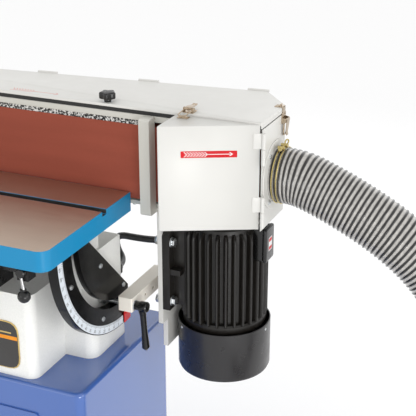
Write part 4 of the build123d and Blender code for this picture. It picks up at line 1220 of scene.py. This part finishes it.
# ---------------------------------------------------------------- motor
@dataclass
class Motor:
    """Finned motor with rounded fin tops, feet, bolts, cowl, terminal box and its plate."""

    core: float = 75.0 * MM
    fins: int = 30
    tip: float = 89.0 * MM

    def build(self) -> None:
        """Make every piece of the motor."""
        low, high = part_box("motor_body")
        self.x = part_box("motor_shaft")[0].x + 12 * MM
        self.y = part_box("motor_shaft")[0].y + 12 * MM
        self.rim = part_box("motor_cowl")[1].z
        self.body(low.z, high.z)
        self.cowl()
        eased("motor_plate", "motor_plate_sheet", 1.0 * MM, WHITE)
        eased("motor_feet", "motor_foot_castings", 1.6 * MM, MOTOR_BLACK, 3)
        self.bolts()
        self.terminal_box()
        dress(STEEL, "motor_shaft")
        dress(BLACK_PLASTIC, "motor_fan")

    def body(self, low: float, high: float) -> None:
        """Ribbed barrel: r = core + (tip - core) * fin(angle) * top(z).

        fin is a flat-topped bump once a pitch, and top falls along a quarter circle, so that each fin
        curls in to the end bell.
        """
        per_fin = 16
        angle = np.linspace(0, 2 * np.pi, self.fins * per_fin, endpoint=False)
        phase = np.abs((angle * self.fins / (2 * np.pi)) % 1.0 - 0.5) * 2
        fin = 1 / (1 + np.exp((phase - 0.37) * 20.0))
        fin_low, fin_top = self.rim + 15 * MM, high - 19 * MM
        curl = 20 * MM
        z = np.concatenate([[fin_low], np.linspace(fin_low + 0.2 * MM, fin_top - curl, 10),
                            fin_top - curl + curl * np.sin(np.linspace(0.12, np.pi / 2, 14))])
        rise = np.clip((z - (fin_top - curl)) / curl, 0, 1)
        top = np.sqrt(np.maximum(1 - rise ** 2, 0))
        reach = self.core + (self.tip - self.core) * fin[None] * top[:, None]
        reach -= (4.5 * MM) * (rise[:, None] ** 3)
        rings = np.stack([self.x + reach * np.cos(angle), self.y + reach * np.sin(angle),
                          np.broadcast_to(z[:, None], reach.shape)], -1)
        barrel = loft(rings).build("motor_barrel", 40.0)
        settle(barrel, MOTOR_BLACK, "head", "motor_body")
        bell_low = fin_top - 3 * MM
        bell = lathe([(0, bell_low), (self.core - 2 * MM, bell_low),
                      (self.core - 2.5 * MM, bell_low + 9 * MM),
                      (self.core - 12 * MM, high - 4 * MM), (44 * MM, high - 3 * MM),
                      (38 * MM, high - 0.4 * MM), (16 * MM, high), (13 * MM, high - 2 * MM),
                      (0, high - 2 * MM)], 72).at(self.x, self.y)
        spigot = lathe([(0, low), (60 * MM, low), (73 * MM, low + 4 * MM), (76 * MM, low + 12 * MM),
                        (76 * MM, self.rim - 4 * MM), (85 * MM, self.rim - 3 * MM),
                        (86 * MM, self.rim - 1 * MM), (86 * MM, self.rim + 12 * MM),
                        (83 * MM, self.rim + 15.5 * MM), (0, self.rim + 15.5 * MM)],
                       72).at(self.x, self.y)
        studs = [hex_bolt(8 * MM, 5 * MM).at(self.x + 62 * MM * math.cos(a), self.y + 62 * MM * math.sin(a),
                                             high - 5.5 * MM) for a in np.radians([45, 135, 225, 315])]
        settle(joined([bell, spigot] + studs).build("motor_end_bells"), MOTOR_BLACK, "head")

    def cowl(self) -> None:
        """Pressed fan cowl with a rolled rim, a slotted floor and its rim screws."""
        low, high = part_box("motor_cowl")
        r = 96 * MM
        shell = lathe([(r - 2 * MM, high.z), (r - 0.6 * MM, high.z), (r, high.z - 0.8 * MM),
                       (r, low.z + 9 * MM),
                       (r - 2.5 * MM, low.z + 3 * MM), (r - 9 * MM, low.z), (24 * MM, low.z),
                       (24 * MM, low.z + 1.6 * MM), (r - 9.5 * MM, low.z + 1.6 * MM),
                       (r - 3.8 * MM, low.z + 4.4 * MM), (r - 1.8 * MM, low.z + 10 * MM),
                       (r - 1.8 * MM, high.z - 1 * MM)], 96, looped=True)
        grille = [slab(sector(k - 1.6 * MM, k + 1.6 * MM, 0, 359.0, 72), low.z, low.z + 1.4 * MM,
                       0.3 * MM) for k in (8 * MM, 17 * MM)]
        spokes = [slab(rectangle(4 * MM, 26 * MM, -1.6 * MM, 1.6 * MM), low.z, low.z + 1.4 * MM, 0.3 * MM
                       ).turned(a) for a in range(0, 360, 60)]
        patch = joined([shell] + grille + spokes).at(self.x, self.y)
        settle(patch.build("motor_cowl_shell"), BLACK_SHEET, "head", "motor_cowl")
        screws = []
        for degrees in (-133, -6.5, 110):
            head = pan_head(3.0 * MM, 1.8 * MM).along(Along.RIGHT).at(r - 0.4 * MM, 0, high.z - 9 * MM)
            screws.append(head.turned(degrees).at(self.x, self.y, 0))
        settle(joined(screws).build("motor_cowl_screws"), ZINC, "head")

    def bolts(self) -> None:
        """Hexagon bolts through the feet, with their nuts behind the plate."""
        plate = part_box("motor_plate")[0]
        face = 373.0 * MM
        heads = []
        for z in (736.0 * MM, 865.0 * MM):
            for y in (62.0 * MM, 2 * self.y - 62.0 * MM):
                heads.append(hex_bolt(16 * MM, 9 * MM).turned(17).along(Along.RIGHT).at(face, y, z))
                nut = hex_bolt(16 * MM, 9 * MM).along(Along.RIGHT)
                nut = Patch(nut.points * np.array([-1.0, 1.0, 1.0]), nut.faces)
                heads.append(nut.at(plate.x, y, z))
        settle(joined(heads).build("motor_foot_bolts"), ZINC, "head", "motor_bolts")

    def terminal_box(self) -> None:
        """Moulded terminal box with a lid line and a plain two-colour label."""
        low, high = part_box("terminal_box")
        box = slab(rectangle(low.y, high.y, low.z, high.z, 5 * MM), low.x, high.x - 9 * MM, 1 * MM)
        cover = slab(rectangle(low.y - 1 * MM, high.y + 1 * MM, low.z - 1 * MM, high.z + 1 * MM, 6 * MM),
                     high.x - 8.6 * MM, high.x, 3.2 * MM, 4)
        housing = (box + cover).along(Along.RIGHT).build("terminal_housing")
        settle(housing, BLACK_PLASTIC, "head", "terminal_box")
        middle_y, middle_z = (low.y + high.y) / 2, (low.z + high.z) / 2
        plate = slab(rectangle(middle_y - 9 * MM, middle_y + 9 * MM,
                               middle_z - 14 * MM, middle_z + 14 * MM, 1 * MM),
                     high.x - 0.02 * MM, high.x + 0.12 * MM, 0.03 * MM, 1).along(Along.RIGHT)
        settle(plate.build("terminal_label"), WHITE_INK, "head")
        stripe = joined([slab(rectangle(middle_y - 8 * MM, middle_y + 8 * MM, under, under + 7 * MM),
                              high.x + 0.10 * MM, high.x + 0.18 * MM, 0.02 * MM, 1)
                         for under in (middle_z - 12 * MM, middle_z + 5 * MM)]).along(Along.RIGHT)
        settle(stripe.build("terminal_label_bars"), RED_INK, "head")


# ---------------------------------------------------------------- tilt quadrant and lock
@dataclass
class TiltLock:
    """Quadrant casting, printed scale, cover plate, pointer, arm and clamp lever."""

    y: float = 47.0 * MM
    z: float = 911.0 * MM
    face: float = 265.0 * MM
    scale: tuple[float, float] = (224.0 * MM, 241.0 * MM)

    def build(self) -> None:
        """Make the quadrant group and the lock."""
        eased("trunnion_quadrant", "quadrant_casting", 1.2 * MM, GLOSS_BLACK, 3)
        eased("trunnion_cover", "quadrant_cover", 0.9 * MM, GLOSS_BLACK, 3)
        self.printed_scale()
        self.screws()
        eased("tilt_arm", "tilt_arm_bar", 1.4 * MM, ARM_BEIGE, 3)
        self.pointer()
        self.clamp()
        dress(STEEL, "pivot_pins")

    def sideways(self, patch: Patch) -> Patch:
        """Stand a patch drawn round the tilt axis on the quadrant's right face."""
        return patch.along(Along.RIGHT).at(self.face, self.y, self.z)

    def printed_scale(self) -> None:
        """White arc with a tick each degree, longer each five and ten, and a number each ten."""
        inner, outer = self.scale
        arc = slab(sector(inner, outer, 180, 270, 120), 0, 1.0 * MM, 0.2 * MM, 1)
        settle(self.sideways(arc).build("angle_scale_plate"), SCALE_WHITE, "root", "angle_scale")
        ticks = []
        for degree in range(0, 91):
            length = (6.4 if degree % 10 == 0 else 5.0 if degree % 5 == 0 else 3.4) * MM
            tick = slab(rectangle(inner + 0.8 * MM, inner + 0.8 * MM + length, -0.48 * MM, 0.48 * MM),
                        0.98 * MM, 1.08 * MM, 0.01 * MM, 1)
            ticks.append(tick.turned(270 - degree))
        settle(self.sideways(joined(ticks)).build("angle_scale_ticks"), BLACK_INK, "root")
        for degree in range(0, 91, 5):
            self.number(degree, outer - 4.9 * MM)

    def number(self, degree: int, radius: float) -> None:
        """One number of the scale, read from outside the arc."""
        text = bpy.data.curves.new(f"scale_number_{degree:02d}", "FONT")
        text.body = str(degree)
        text.size = 8.6 * MM
        text.align_x = "CENTER"
        text.align_y = "CENTER"
        text.extrude = 0.05 * MM
        holder = hung("number", text)
        bpy.context.view_layer.update()
        mesh = bpy.data.meshes.new_from_object(holder)
        bpy.data.objects.remove(holder)
        points = np.empty(len(mesh.vertices) * 3)
        mesh.vertices.foreach_get("co", points)
        points = points.reshape(-1, 3)
        turned = Patch(points, []).turned(90).at(radius, 0, 1.0 * MM).turned(270 - degree)
        flat = self.sideways(turned).points
        mesh.vertices.foreach_set("co", flat.ravel())
        mesh.update()
        piece = hung(f"scale_number_{degree:02d}", mesh)
        mesh.materials.clear()
        settle(piece, BLACK_INK, "root")

    def polar(self, radius: float, degrees: float) -> tuple[float, float]:
        """(Y, Z) of a point round the tilt axis."""
        angle = math.radians(degrees)
        return self.y + radius * math.cos(angle), self.z + radius * math.sin(angle)

    def screws(self) -> None:
        """Domed screws on the ring and on the cover plate."""
        heads = [pan_head(5.2 * MM, 3.2 * MM).along(Along.RIGHT).at(self.face, *self.polar(210 * MM, a))
                 for a in (200, 247)]
        heads += [pan_head(5.2 * MM, 3.2 * MM).along(Along.RIGHT).at(self.face + 5 * MM, y, z)
                  for y, z in ((-46 * MM, 840 * MM), (45 * MM, 760 * MM))]
        settle(joined(heads).build("quadrant_screws"), ZINC, "root", "trunnion_screws")

    def pointer(self) -> None:
        """Red pointer under the arm, sweeping over the end of the scale."""
        blade = slab(sector(216.5 * MM, 242 * MM, 270.6, 277.0, 8), 1.6 * MM, 3.4 * MM, 0.4 * MM)
        settle(self.sideways(blade).build("tilt_pointer"), RED, "head")
        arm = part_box("tilt_arm")[0].z
        tab = slab(rectangle(50 * MM, 64 * MM, 690 * MM, arm + 0.2 * MM, 1 * MM),
                   self.face + 3.35 * MM, self.face + 8 * MM, 0.4 * MM)
        settle(tab.along(Along.RIGHT).build("tilt_pointer_tab"), RED, "head")

    def clamp(self) -> None:
        """Clamp bolt with washer, and the ratchet lever hanging from its hub."""
        y, z = self.polar(178 * MM, 258.7)
        low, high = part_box("tilt_lock_bolt")
        bolt = lathe([(0, 0), (10 * MM, 0), (10 * MM, 8.4 * MM), (5 * MM, 8.5 * MM),
                      (5 * MM, high.x - low.x), (0, high.x - low.x)], 28).along(Along.RIGHT).at(low.x, y, z)
        washer = lathe([(5 * MM, 0), (10.6 * MM, 0), (11 * MM, 0.5 * MM), (10.6 * MM, 1.9 * MM),
                        (5 * MM, 1.9 * MM)], 32, looped=True).along(Along.RIGHT).at(313 * MM, y, z)
        settle((bolt + washer).build("tilt_clamp_bolt"), ZINC, "head", "tilt_lock_bolt")
        hub = lathe([(5.4 * MM, 0), (9 * MM, 0), (9.4 * MM, 0.6 * MM), (9.4 * MM, 8 * MM), (11 * MM, 11 * MM),
                     (11.2 * MM, 24 * MM), (9.5 * MM, 26.6 * MM), (4.5 * MM, 27 * MM), (4.2 * MM, 25.6 * MM),
                     (0, 25.4 * MM), (0, 18 * MM), (5.4 * MM, 18 * MM)], 36)
        run = np.linspace(0, 1, 20)
        reach = 8 * MM + run * 88 * MM
        half = np.interp(run, [0, 0.12, 0.5, 0.72, 0.95, 1], [9.0, 6.8, 6.2, 7.2, 8.2, 4.6]) * MM
        outline = rounded([(0.0, 0.0), (1.0, 0.0), (1.0, 1.0), (0.0, 1.0)], 0.4, 4) - 0.5
        lean = 330.0 * MM + 6 * MM * run
        rings = np.stack([lean[:, None] + 1.7 * half[:, None] * outline[None, :, 0],
                          y + 2 * half[:, None] * outline[None, :, 1],
                          np.broadcast_to((z - reach)[:, None], (20, len(outline)))], -1)
        lever = hub.along(Along.RIGHT).at(315.3 * MM, y, z) + loft(rings)
        settle(lever.build("tilt_clamp_lever"), BLACK_PLASTIC, "tilt_lock_lever", "tilt_lock_lever")


# ---------------------------------------------------------------- table
@dataclass
class Table:
    """Ground table with painted edges, its bracket, star wheel and clamp lever."""

    def build(self) -> None:
        """Make the table group."""
        self.top()
        eased("table_bracket", "bracket_casting", 1.6 * MM, BLACK_ENAMEL, 2)
        self.wheel()
        self.lever()

    def top(self) -> None:
        """Round the table's edges, then paint all but its ground top; its underside and the walls of its slot
        take dark iron as painted shade.
        """
        piece = eased("main_table", "table_casting", 0.7 * MM, TABLE_IRON, 3)
        mesh = piece.data
        mesh.materials.append(EDGE_BLUE.material())
        mesh.materials.append(PAINTED_SHADE_IRON.material())
        count = len(mesh.polygons)
        normal, centre = np.empty(count * 3), np.empty(count * 3)
        mesh.polygons.foreach_get("normal", normal)
        mesh.polygons.foreach_get("center", centre)
        normal, centre = normal.reshape(-1, 3), centre.reshape(-1, 3)
        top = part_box("main_table")[1].z
        kind = np.ones(count, int)
        kind[(normal[:, 2] > 0.99) & (centre[:, 2] > top - 0.1 * MM)] = 0
        # Painted shade: faces that look down, and the walls of the mitre slot, take the dark iron.
        kind[normal[:, 2] < -0.5] = 2
        in_slot = (centre[:, 1] > -69 * MM) & (centre[:, 1] < -51 * MM) & (centre[:, 2] > top - 11 * MM)
        kind[in_slot & (centre[:, 2] < top - 0.1 * MM) & (np.abs(normal[:, 0]) < 0.5)] = 2
        mesh.polygons.foreach_set("material_index", kind)
        piece.modifiers["rounding"].material = 1

    def wheel(self) -> None:
        """Lobed star wheel on its shaft, turning about Y."""
        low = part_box("table_handwheel")[0]
        x, z = 150 * MM, 885 * MM
        grip = slab(star(22.5 * MM, 5, 0.13), 0, 15 * MM, 4 * MM, 4)
        boss = lathe([(0, 14 * MM), (12 * MM, 14 * MM), (10 * MM, 16 * MM), (0, 16.5 * MM)], 32)
        shaft = lathe([(0, -76 * MM), (7 * MM, -76 * MM), (7 * MM, 0.5 * MM), (0, 0.5 * MM)], 28)
        wheel = (grip + boss + shaft).along(Along.FRONT).at(x, low.y + 16 * MM, z)
        settle(wheel.build("height_star_wheel"), BLACK_PLASTIC, "table_handwheel", "table_handwheel")

    def lever(self) -> None:
        """Clamp lever: black hub and bright stem with a black ball."""
        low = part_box("table_lock_lever")[0]
        x, z = 235 * MM, 914 * MM
        hub = lathe([(0, 0), (7.4 * MM, 0), (9 * MM, 1.6 * MM), (9.4 * MM, 9 * MM), (6 * MM, 9.2 * MM),
                     (6 * MM, 34 * MM), (0, 34 * MM)], 32).along(Along.BACK).at(x, low.y + 7.2 * MM, z)
        stem = lathe([(0, 0), (2.8 * MM, 0), (3.4 * MM, 20 * MM), (3.8 * MM, 38 * MM), (0, 38 * MM)], 24)
        stem = stem.along(Along.DOWN).turned(-8, "Y").at(x, low.y + 12 * MM, z - 5 * MM)
        settle(stem.build("clamp_lever_stem"), CHROME, "table_lock_lever")
        t = np.linspace(0, np.pi, 20)
        ball = lathe([(12 * MM * math.sin(a), -12 * MM * math.cos(a)) for a in t], 36)
        collar = lathe([(0, 0), (5.6 * MM, 0), (6 * MM, 4 * MM), (0, 5 * MM)], 28).at(-1 * MM, 0, 10 * MM)
        knob = (ball + collar).at(x + 4 * MM, low.y + 12 * MM, z - 45 * MM)
        settle((hub + knob).build("clamp_lever_ball"), BLACK_PLASTIC, "table_lock_lever", "table_lock_lever")


# ---------------------------------------------------------------- stand
@dataclass
class Stand:
    """Pedestal casting on the sheet cabinet, with the badge, switch and small levers."""

    def build(self) -> None:
        """Make the stand."""
        eased("pedestal", "pedestal_casting", 3.0 * MM, PEDESTAL_WHITE, 3)
        eased("base_cabinet", "cabinet_sheet", 1.2 * MM, BASE_BLUE, 2)
        eased("cabinet_door", "cabinet_door_sheet", 0.8 * MM, BASE_BLUE, 2)
        eased("cabinet_latch", "cabinet_latch_turn", 0.8 * MM, BLACK_PLASTIC, 2)
        dress(STEEL, "slide_way")
        self.badge()
        self.switch()
        self.levers()
        self.base_bolts()

    def badge(self) -> None:
        """Plain badge: gold rim, black field and an orange bar, with nothing written on it."""
        low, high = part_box("name_badge")
        front = -low.y
        rim = slab(rectangle(low.x, high.x, low.z, high.z, 26 * MM), front - 2 * MM, front, 0.6 * MM)
        settle(rim.along(Along.FRONT).build("badge_rim"), BADGE_GOLD, "root", "name_badge")
        field_plate = slab(rectangle(low.x + 2 * MM, high.x - 2 * MM,
                                     low.z + 2 * MM, high.z - 2 * MM, 25 * MM),
                           front - 0.5 * MM, front + 0.25 * MM, 0.1 * MM)
        settle(field_plate.along(Along.FRONT).build("badge_field"), BADGE_BLACK, "root")
        middle = (low.z + high.z) / 2
        for name, ink, left, right, under, over in (("badge_bar", ORANGE_INK, 3, 3, 13, 21),
                                                    ("badge_line", BADGE_GOLD, 44, 16, 26, 29)):
            bar = rectangle(low.x + left * MM, high.x - right * MM, middle + under * MM, middle + over * MM)
            raised = slab(bar, front + 0.2 * MM, front + 0.35 * MM, 0.03 * MM, 1)
            settle(raised.along(Along.FRONT).build(name), ink, "root")

    def switch(self) -> None:
        """Switch box with a bezel round each button."""
        eased("switch_box", "switch_housing", 2.2 * MM, BLACK_PLASTIC, 3)
        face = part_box("switch_box")[0].y
        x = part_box("start_button")[0].x + 10 * MM
        for node, finish, z, radius in (("start_button", GREEN, 752 * MM, 10 * MM),
                                        ("stop_button", RED, 700 * MM, 16 * MM)):
            cap = lathe([(0, -21 * MM), (7 * MM, -21 * MM), (7 * MM, 0), (radius - 0.6 * MM, 0),
                         (radius, 0.8 * MM), (radius, 5 * MM), (radius - 1.6 * MM, 7.2 * MM),
                         (radius - 3.4 * MM, 7.4 * MM),
                         (radius - 4.4 * MM, 6.6 * MM), (0, 6.2 * MM)], 40)
            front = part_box(node)[0].y
            settle(cap.along(Along.FRONT).at(x, front + 7.5 * MM, z).build(f"{node}_cap"), finish, node, node)
            bezel = lathe([(radius + 1.2 * MM, 0), (radius + 4.5 * MM, 0), (radius + 4 * MM, 1.6 * MM),
                           (radius + 1.6 * MM, 2.0 * MM)], 48, looped=True)
            settle(bezel.along(Along.FRONT).at(x, face, z).build(f"{node}_bezel"), ZINC, "root")

    def levers(self) -> None:
        """Tension lever and tracking knob at the idler end."""
        x, y, z = -0.500, 0.090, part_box("tension_lever")[1].z
        hub = lathe([(0, -10 * MM), (13 * MM, -10 * MM), (14 * MM, -9 * MM), (14 * MM, -0.2 * MM),
                     (0, -0.2 * MM)], 40)
        t = np.linspace(0, np.pi, 18)
        ball = lathe([(12.8 * MM * math.sin(a), -12.8 * MM * math.cos(a)) for a in t], 32)
        run = np.linspace(0, 1, 12)
        half = np.interp(run, [0, 0.2, 1], [9.0, 6.0, 5.0]) * MM
        outline = rounded([(-0.5, -0.5), (0.5, -0.5), (0.5, 0.5), (-0.5, 0.5)], 0.3, 4)
        rings = np.stack([x + 2 * half[:, None] * outline[None, :, 0],
                          np.broadcast_to((y - 4 * MM - run * 100 * MM)[:, None], (12, len(outline))),
                          z - 5.5 * MM + 0.9 * half[:, None] * outline[None, :, 1]], -1)
        lever = hub.at(x, y, z) + loft(rings) + ball.at(x, y - 112 * MM, z - 5.5 * MM)
        settle(lever.build("tension_lever_grip"), BLACK_PLASTIC, "tension_lever", "tension_lever")
        low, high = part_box("tracking_knob")
        y, z = (low.y + high.y) / 2, (low.z + high.z) / 2
        grip = slab(star(16.0 * MM, 12, 0.06, 96), 0, 30 * MM, 3 * MM, 3).along(Along.RIGHT).at(low.x, y, z)
        settle(grip.build("tracking_knob_grip"), BLACK_PLASTIC, "tracking_knob", "tracking_knob")
        stud = lathe([(0, 0), (4 * MM, 0), (4 * MM, 33 * MM), (0, 33 * MM)], 20).along(Along.RIGHT)
        settle(stud.at(low.x + 28 * MM, y, z).build("tracking_knob_stud"), STEEL, "tracking_knob")

    def base_bolts(self) -> None:
        """Bolts that hold the pedestal to the cabinet."""
        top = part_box("base_cabinet")[1].z
        bolts = [hex_bolt(13 * MM, 8 * MM).at(x, y, top) for x, y in ((-0.235, -0.09), (-0.235, 0.06))]
        settle(joined(bolts).build("pedestal_bolts"), ZINC, "root")


def main() -> None:
    """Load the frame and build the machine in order."""
    logging.basicConfig(level=logging.INFO, format="%(message)s")
    FRAME.update(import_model())
    for body, members in FRAME["record"]["behaviour"]["bodies"].items():
        FRAME_BODY.update({node: body for node in members})
    Studio().build()
    DustHose().build()
    MotorCable().build()
    Casing().build()
    Motor().build()
    TiltLock().build()
    Table().build()
    Stand().build()


if __name__ == "__main__":
    main()
